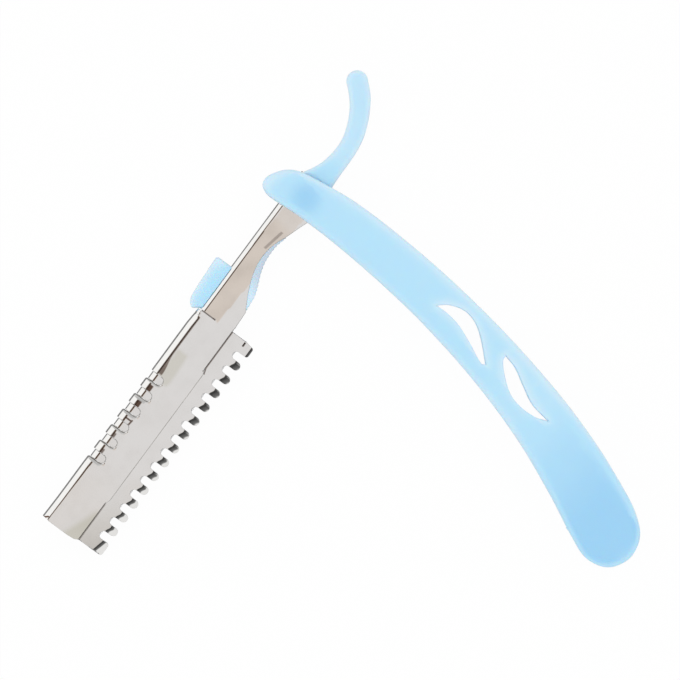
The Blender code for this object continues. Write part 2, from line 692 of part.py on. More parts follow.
def guard_comb():
    guard = as_piece("guard_comb", prism_mesh(guard_section(), GUARD_START, GUARD_END, "X"),
                     HEAD_FRAME, STEEL)
    for number, middle in enumerate(notch_middles()):
        cut(guard, f"notch_{number}", prism_mesh([notch_loop(middle)], -FAR, FAR))
    heel = end_corner_loop(GUARD_START, -1, TAB_HEEL_SLANT)
    cut(guard, "heel_corner", prism_mesh([heel], -FAR, FAR))
    cut(guard, "toe_corner", prism_mesh([end_corner_loop(GUARD_END, 1)], -FAR, FAR))
    low = GUARD_START + TAB_SLOT_INSET, NOTCH_ROOT_V + TAB_SLOT_DEPTH
    high = low[0] + TAB_SLOT_LENGTH, low[1] + TAB_SLOT_WIDTH
    cut(guard, "tab_slot", box_mesh((*low, -FAR), (*high, FAR)))
    for name, at in stud_places().items():
        cut(guard, f"{name}_seat",
            cylinder_mesh(STUD_RADIUS + PRESS_GAP, -FAR, FAR, at, sides=NARROW_SIDES))


def stud_places():
    return {"blade_stud_heel": (BLADE_START + STUD_INSET, BLADE_BACK_V + STUD_FROM_BACK),
            "blade_stud_toe": (BLADE_START + BLADE_LENGTH - STUD_INSET, BLADE_BACK_V + STUD_FROM_BACK)}


def blade():
    middle_w = (GUARD_BACK_W + BLADE_BACK_W) / 2
    section = [(BLADE_BACK_V, BLADE_BACK_W), (BLADE_EDGE_V - BLADE_BEVEL, BLADE_BACK_W),
               (BLADE_EDGE_V, middle_w), (BLADE_EDGE_V - BLADE_BEVEL, GUARD_BACK_W),
               (BLADE_BACK_V, GUARD_BACK_W)]
    piece = as_piece("blade", prism_mesh([section], BLADE_START, BLADE_START + BLADE_LENGTH, "X"),
                     HEAD_FRAME, BLADE_STEEL)
    for name, at in stud_places().items():
        cut(piece, f"{name}_hole",
            cylinder_mesh(STUD_RADIUS + RUNNING_GAP, -FAR, FAR, at, sides=NARROW_SIDES))
        mesh = cylinder_mesh(STUD_RADIUS, BLADE_BACK_W, PLATE_BACK_W - WASHER_GAP, at, sides=NARROW_SIDES)
        as_piece(name, mesh, HEAD_FRAME, STEEL)


def loop_tail(start):
    """Flat round end of a tongue, past the pin and short of the end of its window."""
    half = WINDOW_WIDTH / 2 - SIDE_GAP
    middle = start + WINDOW_WIDTH / 2
    end = arc((middle, WINDOW_END_V - LOOP_TAIL_SHORT - half), half, 0.0, math.pi, SLOT_END_SIDES)
    return end + [(middle - half, PIN_V), (middle + half, PIN_V)]


def rear_leaf():
    """Hinged back plate whose tongues roll round the pin in the windows."""
    section = rolled_section(LEAF_EDGE_V, LEAF_BACK_W, LEAF_FRONT_W, LEAF_LOOP_RADIUS)
    leaf = as_piece("rear_leaf", prism_mesh(section, LEAF_START, LEAF_END, "X"), LEAF_FRAME, STEEL)
    back_v = PIN_V + BARREL_RADIUS + BARREL_CLEARANCE
    edges = [LEAF_START - FAR]
    for start in window_starts():
        edges += [start + SIDE_GAP, start + WINDOW_WIDTH - SIDE_GAP]
    edges.append(LEAF_END + FAR)
    for number in range(0, len(edges), 2):
        cut(leaf, f"leaf_relief_{number}",
            box_mesh((edges[number], -FAR, -FAR), (edges[number + 1], back_v, FAR)))
    top = LEAF_LOOP_RADIUS - LOOP_TAIL_DROP
    for number, start in enumerate(window_starts()):
        join(leaf, f"loop_tail_{number}", prism_mesh([loop_tail(start)], top - LOOP_TAIL_SHEET, top))


# Lock slide

def lock_slide():
    pad_line = [(x, SPINE_V + y) for x, y in from_head(PAD_OUTLINE)]
    pad_start, pad_heel = pad_line[0][0], pad_line[-1][0]
    tab_end = pad_heel - SEAT_GAP
    outline = [(SLIDE_START, SLIDE_TAB_V), (SLIDE_START, SLIDE_EDGE_V), (SLIDE_END, SLIDE_EDGE_V),
               (SLIDE_END, SPINE_V + FOLD_RADIUS), (tab_end, SPINE_V), (tab_end, SLIDE_TAB_V)]
    slide = as_piece("lock_slide", prism_mesh([outline], SLIDE_BACK_W, SLIDE_FRONT_W), SLIDE_FRAME, STEEL)
    inner_v = SPINE_V - RUNNING_GAP
    mesh = prism_mesh([pad_line + [(pad_heel, inner_v), (pad_start, inner_v)]],
                      PAD_BACK_W, PAD_FRONT_W)
    round_edges(mesh, PAD_ROUND, 2,
                lambda co: not PAD_BACK_W + PRESS_GAP < co.z < PAD_FRONT_W - PRESS_GAP
                and co.y < inner_v - PRESS_GAP)
    pad = as_piece("thumb_pad", mesh, SLIDE_FRAME, BLUE)
    cut(pad, "pad_pocket",
        box_mesh((SLIDE_START - PRESS_GAP, SLIDE_TAB_V - PRESS_GAP, SLIDE_BACK_W - PRESS_GAP),
                 (tab_end + PRESS_GAP, 0, SLIDE_FRONT_W + PRESS_GAP)))
    under_head = RUNNING_GAP - PLATE_BACK_W
    top = under_head + RIVET_HEAD_HEIGHT
    back = SLIDE_BACK_W - PRESS_GAP
    end = back - RIVET_TAIL_HEIGHT
    profile = [(0, top), (RIVET_CROWN_RADIUS, top), (RIVET_HEAD_RADIUS, top - RIVET_RIM),
               (RIVET_HEAD_RADIUS, under_head), (RIVET_RADIUS, under_head), (RIVET_RADIUS, back),
               (RIVET_HEAD_RADIUS, back), (RIVET_CROWN_RADIUS, end), (0, end)]
    for name, station in RIVETS.items():
        at = (station, RIVET_V)
        cut(slide, f"{name}_hole",
            cylinder_mesh(RIVET_RADIUS + PRESS_GAP, -FAR, FAR, at, sides=NARROW_SIDES))
        turned(name, profile, SLIDE_FRAME, at, STEEL)


# Finger grip and tail

def between(line, start, end):
    """The stretch of a line whose points lie between two stations."""
    return [p for p in line if start <= p[0] <= end]


def height_at(line, station):
    """A line's second value at a station."""
    for (x0, y0), (x1, y1) in zip(line, line[1:]):
        if x0 <= station <= x1:
            return y0 + (y1 - y0) * (station - x0) / (x1 - x0)
    return line[-1][1]


def ridged_edge():
    """The outer line of the grip: the finger edge, plus how proud it stands, less its ridges."""
    proud = smooth(from_head(GRIP_PROUD), 4)
    start, end = proud[0][0], proud[-1][0]
    step = GRIP_RIDGE_PITCH / GRIP_STEPS_PER_RIDGE
    line = []
    for k in range(int((end - start) / step) + 1):
        station = start + k * step
        height = height_at(proud, station)
        valley = 0.5 - 0.5 * math.cos(math.tau * k / GRIP_STEPS_PER_RIDGE)
        depth = min(GRIP_RIDGE_HEIGHT, height / 2) * valley
        line.append((station, height_at(FINGER_LINE, station) + height - depth))
    return line


def finger_grip():
    """Ridged plastic edge: a web between the walls and a bead beyond them."""
    ridged = ridged_edge()
    shoulder = between(FINGER_LINE, ridged[0][0], ridged[-1][0])
    bead = offset(shoulder, GRIP_SHOULDER_GAP) + list(reversed(ridged))
    inner = offset(shoulder, -GRIP_WEB_DEPTH)
    beyond = offset(shoulder, 2 * GRIP_SHOULDER_GAP)
    half = PLATE_BACK_W - WASHER_GAP
    grip = as_piece("finger_grip", prism_mesh([bead], -TANG_HALF, TANG_HALF), HEAD_FRAME, BLUE)
    join(grip, "grip_web", prism_mesh([inner + list(reversed(beyond))], -half, half))


def from_tang(points):
    """Points in millimetres measured along from the end of the tang, in metres from the pivot."""
    return [(TANG_END + x, y) for x, y in scaled(points)]


def tail_rest():
    """Curved finger rest moulded over the end of the tang."""
    spine_side = smooth(from_tang(TAIL_SPINE_SIDE), 3)
    comb_side_line = smooth(from_tang(TAIL_COMB_SIDE), 3)
    centre = from_tang([TAIL_TIP])[0]
    start = math.atan2(spine_side[-1][1] - centre[1], spine_side[-1][0] - centre[0])
    end = math.atan2(comb_side_line[0][1] - centre[1], comb_side_line[0][0] - centre[0])
    tip = arc(centre, TAIL_TIP_RADIUS, start, end - math.tau, 12)[1:-1]
    mesh = prism_mesh([spine_side + tip + comb_side_line], -TAIL_HALF_DEPTH, TAIL_HALF_DEPTH)
    round_edges(mesh, TAIL_EDGE_ROUND, 3, lambda co: abs(co.z) > TAIL_HALF_DEPTH - PRESS_GAP)
    tail = as_piece("tail_rest", mesh, HEAD_FRAME, BLUE)
    walls = {"front": (PLATE_BACK_W, TANG_HALF), "rear": (-TANG_HALF, -PLATE_BACK_W)}
    for side, (low, high) in walls.items():
        cut(tail, f"tongue_pocket_{side}",
            box_mesh((TONGUE_END - PRESS_GAP, TONGUE_LOW_V - PRESS_GAP, low - PRESS_GAP),
                     (0, TONGUE_HIGH_V + PRESS_GAP, high + PRESS_GAP)))


handle_scale("handle_front_scale", 1)
handle_scale("handle_rear_scale", -1)
handle_spacer()
locating_pins()
pivot()
blade_head()
hinge_pin()
guard_comb()
blade()
rear_leaf()
lock_slide()
finger_grip()
tail_rest()
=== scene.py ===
"""The finished look of a straight razor with a replaceable blade, and the table it lies on.

Shapes are drawn in millimetres and become metres in their meshes. The head is drawn in its own
frame: u runs from the pivot to the tip, v from the spine to the comb, w up to the front. In the
flat pattern of a bent sheet, s takes the place of v. The handle is drawn along +X from the pivot,
about the middle of the slot between its scales.
"""

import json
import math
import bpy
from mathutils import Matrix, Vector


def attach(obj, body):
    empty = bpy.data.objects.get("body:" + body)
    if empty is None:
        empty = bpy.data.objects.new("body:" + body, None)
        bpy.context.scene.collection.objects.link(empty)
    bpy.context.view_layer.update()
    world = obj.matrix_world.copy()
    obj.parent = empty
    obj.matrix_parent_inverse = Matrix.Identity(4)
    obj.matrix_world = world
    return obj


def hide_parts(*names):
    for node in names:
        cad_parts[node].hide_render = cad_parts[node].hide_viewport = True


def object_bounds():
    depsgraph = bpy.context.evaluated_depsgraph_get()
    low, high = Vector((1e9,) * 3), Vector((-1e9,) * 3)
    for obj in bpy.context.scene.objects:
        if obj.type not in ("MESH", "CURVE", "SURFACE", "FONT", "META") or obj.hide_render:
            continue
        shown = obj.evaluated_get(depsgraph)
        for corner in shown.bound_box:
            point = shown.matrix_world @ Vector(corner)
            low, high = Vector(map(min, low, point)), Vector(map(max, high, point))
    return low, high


bl_info = {
    "name": "Straight razor",
    "version": (1, 0, 0),
    "blender": (4, 5, 0),
    "location": "3D View > Sidebar > Razor",
    "description": "Builds the finished pieces of a straight razor with a replaceable blade",
    "category": "Add Mesh",
}

import bpy
import numpy as np
from bpy.props import FloatProperty, FloatVectorProperty, PointerProperty
from mathutils import Matrix, Vector, geometry

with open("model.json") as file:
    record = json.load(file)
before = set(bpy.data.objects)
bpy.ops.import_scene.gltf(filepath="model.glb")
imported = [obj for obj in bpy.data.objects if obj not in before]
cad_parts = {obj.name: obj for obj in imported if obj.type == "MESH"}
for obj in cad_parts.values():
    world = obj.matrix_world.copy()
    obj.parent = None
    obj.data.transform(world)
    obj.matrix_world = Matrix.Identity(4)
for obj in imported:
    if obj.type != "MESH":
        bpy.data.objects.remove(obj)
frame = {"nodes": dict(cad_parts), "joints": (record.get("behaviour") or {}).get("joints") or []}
CAD_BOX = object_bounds()
MM = 0.001

# Frames of the head and the handle, from the joints
JOINTS = {joint["name"]: joint for joint in frame["joints"]}
PIVOT = Vector(JOINTS["handle_fold"]["pos_m"])
HEAD_U = Vector(JOINTS["lock_travel"]["axis"]).normalized()
HEAD_V = Vector((0, 0, 1)).cross(HEAD_U)
HEAD = Matrix.Translation(PIVOT) @ Matrix((HEAD_U, HEAD_V, (0, 0, 1))).transposed().to_4x4()
HANDLE = Matrix.Translation(PIVOT)

# Head in millimetres
TANG_HALF = 1.5
TANG_END = -4.9
TANG_EDGE_V = 4.1
TONGUE_END = -12.9
TONGUE_V = (-0.8, 2.4)
SPINE_V = -5.0
# Each bend of the shank's fold, from the front wall to its middle, as degrees and radius
SHANK_BENDS = [(14, 1.3), (14, 2.4), (62, 1.38)]
HEAD_START = 39.5
HEAD_END = 107.4
SLIT_WIDTH = 0.3
SLIT_END_V = 0.05
REAR_WALL_END = 38.6
FINGER_EDGE = [
    (-34.3, 4.15), (-32.3, 3.4), (-30.1, 2.65), (-27.5, 1.75), (-25.0, 0.75), (-22.5, 0.2),
    (-19.5, 0.08), (-16.5, 0.5), (-13.5, 1.45), (-10.5, 2.75), (-8.1, 4.05), (-6.1, 5.2),
]
PLATE_END_V = 5.44
PLATE_LIP_V = 5.95
LIP_HEEL = 11.7
LIP_TOE = 12.4
LIP_RAMP = 1.6
TIP_CORNER = [(-0.8, 0.0), (-0.2, -1.1), (0.0, -3.3)]
PIN_V = -4.15
# How the barrel leaves the plate at stations along the head, and how it rolls on from there
FOOT = [(6, 1.0), (19, 3.73)]
WINDOW_FOOT = [(6, 1.0), (19, 4.2)]
BARREL_FOOTS = [(40.9, [(12, 0.3), (13, 1.2)]), (41.7, FOOT), (60.0, FOOT), (61.5, WINDOW_FOOT),
                (87.0, WINDOW_FOOT), (90.0, FOOT), (101.0, [(6, 1.0), (6, 1.6), (13, 3.69)])]
BARREL_ROLL = [(121, 1.4), (39, 1.9), (97, 1.2)]
BARREL_STARTS = [(40, -4.3), (40.9, -4.45), (41.7, -3.47), (44.5, -3.62), (60, -3.58), (61.5, -3.43),
                 (87, -3.47), (90, -3.66), (97, -3.8), (107.4, -4.0)]
BARREL_ROLL_END = -11.2
WINDOW_PITCH = 5.04
WINDOW_STARTS = [59.8 + WINDOW_PITCH * number for number in range(6)]
WINDOW_WIDTH = 2.35
WINDOW_END_V = -1.1
SLOT_STATIONS = (29.8, 36.4)
SLOT_V = -2.3
SLOT_RADIUS = 0.78
SLOT_TRAVEL = 5.0
PIVOT_BORE = 1.55
# The pressed toe side of a window
PRESSED_REACH = 0.35
PRESSED_SLOPE = 0.88
# How the sheared edges of the plate fall: the reach and the depth of each roll
END_ROLL = (0.2, 0.05)
SLANT_ROLL = (0.24, 0.05)
LIP_ROLL = (0.3, 0.012)
TOE_ROLL = (0.35, 0.07)
# How the shank leans back past its fold line, and the stations between which the lean grows
LEAN_V = 0.9
LEAN_SLANT = 0.06
LEAN_SLOPE = 0.036
LEAN_SPAN = (8.0, 13.0)
TIP_HOLLOW = 0.05
# Faint waves of the sheet: their height, how fast they run along u and v, and where they start
SHEET_WAVES = ((0.010, 0.19, 0.0, 0.6), (0.006, 0.41, 0.55, 0.0))

# Comb in millimetres
COMB_START = 39.4
COMB_END = 106.65
COMB_BACK_V = -0.9
COMB_FRONT_W = 0.7
CURL_ANGLE = math.radians(39.5)
# By the number of a tooth: where it starts to curl, and the radius of its curl
TOOTH_CURLS = [(0, 11.75, 1.7), (0.9, 11.75, 1.7), (1, 10.44, 4.4), (4, 10.41, 4.1), (5, 10.4, 3.7),
               (6, 10.42, 3.4), (7, 10.43, 3.0), (8, 10.2, 2.75), (9, 10.28, 2.95), (10, 10.31, 2.3),
               (12, 10.17, 1.85), (13, 10.17, 1.75), (14, 10.42, 1.6)]
CURL_SKEW = 0.6
SKEW_SPAN = (-0.5, 1.1)
HEEL_SKEW = 0.1
TOE_TAB_SKEW = 0.25
TOOTH_HALF = 1.1575
TIP_V = 12.6
NOTCH_ROOT_V = 8.85
NOTCH_FIRST = 43.845
NOTCH_PITCH = 4.465
NOTCH_COUNT = 14
NOTCH_HALF = 1.075
TOOTH_ROUND = 1.12
TAB_ROUND = 0.7
STUD_BORE = 0.93
STUD_PLACES = [(49.2, 3.6), (97.2, 3.6)]
# The groove in the heel tab: its low and its high corner, its depth and half its width
TAB_GROOVE = (39.75, 9.65, 40.95, 9.95)
GROOVE_DEPTH = 0.2
GROOVE_HALF = 0.22
# How far the comb's toe end is sprung back for each millimetre past a line
COMB_SPRING = 0.045
TAB_HEEL_SLANT = 0.35

# The blade's bevel in millimetres: where it starts, and where its matt finish is full
BEVEL_V = (8.2, 8.4)

# Rear leaf in millimetres
LEAF_START = 41.0
LEAF_END = 106.4
LEAF_EDGE_V = 8.2
LEAF_BACK_V = -2.45
LEAF_FLAT_V = -2.87
LEAF_BACK_W = -0.6
LEAF_DIP = math.radians(30)
LEAF_DIP_RADIUS = 0.8
LEAF_DIP_RUN = 0.404
LEAF_LOOP_RADIUS = 1.05
LEAF_LOOP_TURN = math.radians(175)
LEAF_TAIL_BEND = (math.radians(35), 2.6)
LEAF_TAIL_END_V = -1.25
LEAF_LOOP_SHEET = 0.38
LEAF_SIDE_GAP = 0.12
LEAF_CORNER = 1.5

# Lock slide and thumb pad in millimetres
SLIDE_OUTLINE = [(27.0, -7.4), (27.0, -0.6), (40.6, -0.6), (40.6, -3.6), (39.05, -4.9), (39.05, -7.4)]
SLIDE_CORNERS = [0.2, 0.5, 0.5, 0.3, 0.3, 0.2]
SLIDE_ROUND = 0.09
SLIDE_W = (-2.35, -1.55)
PAD_OUTLINE = [
    (-13.5, -3.9), (-13.25, -4.35), (-12.7, -4.52), (-7.5, -4.25), (-1.5, -3.8), (-0.1, -3.35),
    (0.8, -2.5), (1.1, -1.85), (0.8, -1.25), (0.35, -0.65), (-0.2, 0.3), (-13.5, 0.3),
]
PAD_W = (-3.4, 1.2)
PAD_EDGE_DROP = 0.9
RIVET_PROFILE = [
    (0.0, -0.25), (0.55, -0.27), (0.9, -0.34), (1.1, -0.45), (1.15, -0.52), (1.15, -0.65), (0.75, -0.65),
    (0.75, -2.38), (1.15, -2.38), (1.12, -2.45), (0.9, -2.55), (0.5, -2.6), (0.0, -2.6),
]

# Grip and tail in millimetres
GRIP_HALF_DEPTH = 1.5
GRIP_ROUND = 0.8
GRIP_EDGE_HALF = 0.75
WEB_HALF_DEPTH = 0.68
WEB_ROUND = 0.1
WEB_DEPTH = 1.3
RIDGE_PITCH = 1.1
GRIP_PROUD = [
    (-27.9, 0.25), (-25.5, 0.65), (-22.5, 1.15), (-19.5, 1.5), (-16.5, 1.95), (-13.5, 2.3),
    (-11.0, 2.1), (-9.0, 1.35), (-6.7, 0.3),
]
TAIL_HALF_DEPTH = 2.1
TAIL_EDGE_HALF = 0.5
TAIL_TIP = (-27.35, -7.3)
TAIL_TIP_RADIUS = 2.8
TAIL_SPINE_SIDE = [
    (0.5, -4.4), (-0.1, -4.4), (-3.2, -2.75), (-6.3, -1.75), (-10.1, -1.3), (-13.7, -1.65),
    (-17.8, -3.15), (-21.1, -5.1), (-23.4, -7.1), (-25.05, -8.9),
]
TAIL_COMB_SIDE = [
    (-29.25, -5.25), (-26.5, -2.35), (-23.2, -0.1), (-20.1, 1.5), (-15.9, 3.0),
    (-11.5, 3.6), (-7.8, 3.7), (-4.1, 3.75), (-0.1, 4.0), (0.5, 4.05),
]

# Handle in millimetres
SLOT_HALF = 2.7
# How the plastic's colour changes along the middle of a scale, partly for thickness and partly as painted
# shade: by how much, and from where to where
CORE_TONES = [(0.35, -11, -5), (-0.09, 55, 75), (0.28, 77, 95), (0.34, 92, 118), (-0.3, 121, 126)]
HANDLE_EDGE = [
    (-10.9, -4.0), (-10.2, -1.3), (-8.6, 1.4), (-6.0, 3.5), (-1.4, 5.15), (9.0, 8.2),
    (24.0, 10.6), (42.0, 12.25), (62.0, 12.75), (82.0, 11.85), (98.0, 9.8), (110.0, 7.2),
    (118.0, 4.8), (123.6, 1.2), (125.8, -4.6), (123.6, -10.3), (118.2, -12.75),
    (112.0, -11.7), (100.0, -8.15), (84.0, -4.3), (66.0, -1.85), (46.0, -0.95),
    (30.0, -1.5), (14.0, -2.95), (2.0, -4.75), (-3.5, -6.0), (-7.5, -6.75), (-10.0, -6.0),
]
HANDLE_WINDOWS = [
    [
        [(43.8, 4.9), (45.9, 7.3), (49.6, 9.15), (53.6, 9.15), (58.0, 7.2), (63.7, 3.4)],
        [(63.7, 3.4), (62.6, 2.75), (57.0, 4.25), (51.2, 5.5), (46.9, 5.45), (43.8, 4.9)],
    ],
    [
        [(65.6, 8.75), (66.1, 7.3), (69.6, 4.7), (73.7, 2.7), (78.0, 2.3), (82.4, 3.2),
         (85.5, 4.85)],
        [(85.5, 4.85), (79.5, 4.95), (74.3, 6.65), (69.6, 8.35), (65.6, 8.75)],
    ],
]

# Camera and table: the middle and the width of the view in millimetres, and lengths in metres
VIEW_CENTRE = (32.79, -19.38)
VIEW_WIDTH = 176.8
VIEW_TURN = math.radians(46.0)
VIEW_DISTANCE = 2.0
VIEW_CLIP = 10.0
SENSOR = 36.0
TABLE_HALF = 1.5
TABLE_GAP = 0.00005

# How the meshes are divided: distances from their edges at which rows of points run
SCALE_ROWS = (0.06, 0.16, 0.32, 0.55, 0.85, 1.25, 1.7, 2.3)
SCALE_SPACING = 1.6
HOLDER_ROWS = (0.02, 0.06, 0.14, 0.24, 0.35)
SHEET_ROWS = (0.02, 0.06, 0.16)
SLIDE_ROWS = (0.03, 0.09, 0.2)
PAD_ROWS = (0.03, 0.09, 0.2, 0.28, 0.34, 0.42, 0.58, 0.76, 1.0)
GRIP_ROWS = (0.05, 0.15, 0.32, 0.55, 0.85)
# Rows of the other cushions, as shares of the radius of their round edge
CUSHION_ROWS = (0.03, 0.1, 0.22, 0.4, 0.62, 0.85, 1.1)
# The bent part of the holder's flat pattern, and the teeth of the comb, are divided more finely
HOLDER_BENT_S = -3.2
COMB_FINE_V = 8.5
# How far from every edge a point has to lie to be kept, as a share of its row's distance, or of the
# last row's for a grid point, and the smallest face that is kept
ROW_MARGIN = 0.93
GRID_MARGIN = 1.35
LEAST_CROSS = 1e-9
# The step over which a bent sheet's slope is measured, and the angles past which an edge looks sharp
SLOPE_STEP = 0.004
SHARP_ANGLE = math.radians(50)
TURNED_SHARP_ANGLE = math.radians(40)


# Settings

def length(name, description, millimetres):
    return FloatProperty(name=name, description=description, default=millimetres * MM,
                         unit="LENGTH", precision=5)


def colour(name, description, rgb):
    return FloatVectorProperty(name=name, description=description, default=rgb,
                               subtype="COLOR", min=0.0, max=1.0)


class RazorSizes(bpy.types.PropertyGroup):
    """Thicknesses and roundings that may be changed without moving a joint."""
    scale_thickness: length("Scale thickness", "How thick each scale of the handle is", 2.2)
    scale_round: length("Scale edge", "Rounding along the outer edge of a scale", 1.7)
    window_round: length("Window edge", "Rounding along the windows of a scale", 0.45)
    holder_sheet: length("Holder sheet", "How thick the folded sheet of the head is", 0.8)
    comb_sheet: length("Comb sheet", "How thick the sheet of the guard comb is", 0.5)
    leaf_sheet: length("Leaf sheet", "How thick the sheet of the rear leaf is", 0.5)
    edge_round: length("Sheared edge", "Rounding along the sheared edges of the sheets", 0.06)
    tail_round: length("Tail edge", "Rounding along the edge of the tail rest", 1.7)
    pad_round: length("Pad edge", "Rounding along the edge of the thumb pad", 0.9)
    ridge_height: length("Ridge height", "How deep the grip's valleys are", 0.15)


class RazorColours(bpy.types.PropertyGroup):
    """Colours of the finishes."""
    # Plastic colours for the tone attribute: partly the plastic's thickness, partly painted light at the rims
    # and painted shade in the middles
    plastic: colour("Plastic", "Light blue plastic", (0.48, 0.785, 1.0))
    plastic_rim_lit: colour("Plastic rim", "Light blue plastic where it is thin", (0.66, 0.86, 1.0))
    plastic_deep_shaded: colour("Plastic core", "Light blue plastic where it is thick", (0.345, 0.665, 0.94))
    plastic_thin: colour("Plastic film", "Light blue plastic at its thinnest", (0.56, 0.68, 0.79))
    steel: colour("Polished steel", "Nickel plated sheet", (0.93, 0.92, 0.90))
    # Painted shade and dark reflection, brown, in the creases and corners of the sheets
    painted_shade: colour("Stain", "Brown stain in the creases of the sheet", (0.15, 0.09, 0.065))
    # Painted beige reflection in patches of the head's sheet
    beige_reflection: colour("Dulled steel", "Plating that has lost some of its shine", (0.785, 0.77, 0.69))
    blade: colour("Blade steel", "Brushed blade", (0.62, 0.62, 0.62))
    bevel: colour("Blade bevel", "Freshly ground edge", (0.97, 0.97, 0.97))
    nylon: colour("White nylon", "Washers, bush and pins", (0.82, 0.83, 0.82))


# Lines

def smooth(points, per_span=10, closed=False):
    """Points along a smooth curve through the given ones."""
    count = len(points)
    line = []
    for i in range(count if closed else count - 1):
        if closed:
            a, b, c, d = (Vector(points[(i + k) % count]) for k in (-1, 0, 1, 2))
        else:
            b, c = Vector(points[i]), Vector(points[i + 1])
            a = Vector(points[i - 1]) if i else b + (b - c)
            d = Vector(points[i + 2]) if i + 2 < count else c + (c - b)
        reach = (c - b).length
        leave = (c - a) * reach / ((b - a).length + reach)
        arrive = (d - b) * reach / ((d - c).length + reach)
        for k in range(per_span):
            t = k / per_span
            h = (1 + 2 * t) * (1 - t) ** 2, t * (1 - t) ** 2, t * t * (3 - 2 * t), t * t * (t - 1)
            line.append(tuple(b * h[0] + leave * h[1] + c * h[2] + arrive * h[3]))
    if not closed:
        line.append(tuple(points[-1]))
    return line


def arc(centre, radius, start, end, steps):
    angles = [start + (end - start) * k / steps for k in range(steps + 1)]
    return [(centre[0] + radius * math.cos(a), centre[1] + radius * math.sin(a)) for a in angles]


def circle(centre, radius, steps=32):
    return arc(centre, radius, 0.0, math.tau, steps)[:-1]


def offset(line, distance):
    """An open line moved to its left."""
    moved = []
    for i, point in enumerate(line):
        along = Vector(line[min(i + 1, len(line) - 1)]) - Vector(line[max(i - 1, 0)])
        along.normalize()
        moved.append((point[0] - along.y * distance, point[1] + along.x * distance))
    return moved


def height_at(line, stations):
    xs, ys = np.array(line).T
    return np.interp(stations, xs, ys)


def spaced(*spans):
    """Values at even steps. Each span is a start, an end and a step."""
    return np.concatenate([np.arange(*span) for span in spans])


def rounded(points, radii, steps=6):
    """A closed outline with its corners rounded."""
    loop = []
    for i, corner in enumerate(points):
        here = Vector(corner)
        back = Vector(points[i - 1]) - here
        ahead = Vector(points[(i + 1) % len(points)]) - here
        reach = min(radii[i], back.length / 2.01, ahead.length / 2.01)
        if reach <= 0:
            loop.append(tuple(corner))
            continue
        start, end = here + back.normalized() * reach, here + ahead.normalized() * reach
        for k in range(steps + 1):
            t = k / steps
            loop.append(tuple(start * (1 - t) ** 2 + here * 2 * t * (1 - t) + end * t * t))
    return loop


def divided(loop, step):
    """A closed loop with no stretch longer than a step, which may depend on the place."""
    fine = []
    for i, a in enumerate(loop):
        b = loop[(i + 1) % len(loop)]
        reach = math.dist(a, b)
        count = max(1, math.ceil(reach / step((a[0] + b[0]) / 2, (a[1] + b[1]) / 2)))
        fine += [(a[0] + (b[0] - a[0]) * k / count, a[1] + (b[1] - a[1]) * k / count)
                 for k in range(count)]
    return fine


# Filled areas

def turned_left(loop, hole=False):
    """The loop in the order that keeps the filled side on its left."""
    x, y = np.array(loop).T
    area = np.sum(x * np.roll(y, -1) - np.roll(x, -1) * y)
    return loop if (area > 0) != hole else loop[::-1]


def outward(loop):
    """At each corner of a loop, the way out of the filled area, stretched to its mitre."""
    points = np.array(loop)
    along = np.roll(points, -1, axis=0) - points
    along /= np.linalg.norm(along, axis=1)[:, None]
    out = np.stack((along[:, 1], -along[:, 0]), axis=1)
    mitre = out + np.roll(out, 1, axis=0)
    size = np.linalg.norm(mitre, axis=1)
    return mitre / size[:, None], 1.0 / np.maximum(size / 2, 0.5)


def nearest(points, loops):
    """Each point's distance from the nearest loop, and the way there."""
    best = np.full(len(points), np.inf)
    way = np.zeros((len(points), 2))
    for loop in loops:
        starts = np.array(loop)
        for a, b in zip(starts, np.roll(starts, -1, axis=0) - starts):
            share = np.clip(((points - a) @ b) / (b @ b), 0, 1)
            to = a + share[:, None] * b - points
            far = np.hypot(to[:, 0], to[:, 1])
            closer = far < best
            best[closer] = far[closer]
            way[closer] = to[closer]
    return best, way


def within(points, loops):
    """Whether each point lies in the area that the loops enclose."""
    odd = np.zeros(len(points), bool)
    x, y = points.T
    for loop in loops:
        for (x0, y0), (x1, y1) in zip(loop, loop[1:] + loop[:1]):
            if y0 != y1:
                odd ^= ((y0 > y) != (y1 > y)) & (x < x0 + (y - y0) * (x1 - x0) / (y1 - y0))
    return odd


class Area:
    """The area between an outline and its holes, filled with triangles.

    Rows of points run along the edges at set distances, and grid points fill the rest.
    """

    def __init__(self, outline, holes, rows, grid_x, grid_y):
        self.loops = [turned_left(outline)] + [turned_left(hole, True) for hole in holes]
        edge = np.array([p for loop in self.loops for p in loop])
        out, mitre = (np.concatenate(parts) for parts in zip(*map(outward, self.loops)))
        grid = np.stack(np.meshgrid(grid_x, grid_y), axis=-1).reshape(-1, 2)
        tries = np.concatenate([edge - out * (mitre * row)[:, None] for row in rows] + [grid])
        least = np.repeat([*(ROW_MARGIN * row for row in rows), GRID_MARGIN * rows[-1]],
                          [len(edge)] * len(rows) + [len(grid)])
        far, way = nearest(tries, self.loops)
        keep = within(tries, self.loops) & (far >= least)
        inner, far, way = tries[keep], far[keep], way[keep]
        pairs, start = [], 0
        for loop in self.loops:
            pairs += [(start + i, start + (i + 1) % len(loop)) for i in range(len(loop))]
            start += len(loop)
        points = np.concatenate((edge, inner))
        _, _, faces, origins, _, _ = geometry.delaunay_2d_cdt(
            [Vector(p) for p in points], pairs, [], 0, 1e-7, True)
        order = [ids[0] for ids in origins]
        self.points = points[order]
        self.distance = np.concatenate((np.zeros(len(edge)), far))[order]
        self.way = np.concatenate((out, way / np.maximum(far, 1e-9)[:, None]))[order]
        faces = np.array(faces)
        middles = self.points[faces].mean(axis=1)
        a, b, c = (self.points[faces[:, k]] for k in range(3))
        cross = (b - a)[:, 0] * (c - a)[:, 1] - (b - a)[:, 1] * (c - a)[:, 0]
        faces = faces[within(middles, self.loops) & (np.abs(cross) > LEAST_CROSS)]
        self.faces = [tuple(int(i) for i in face) for face in faces]


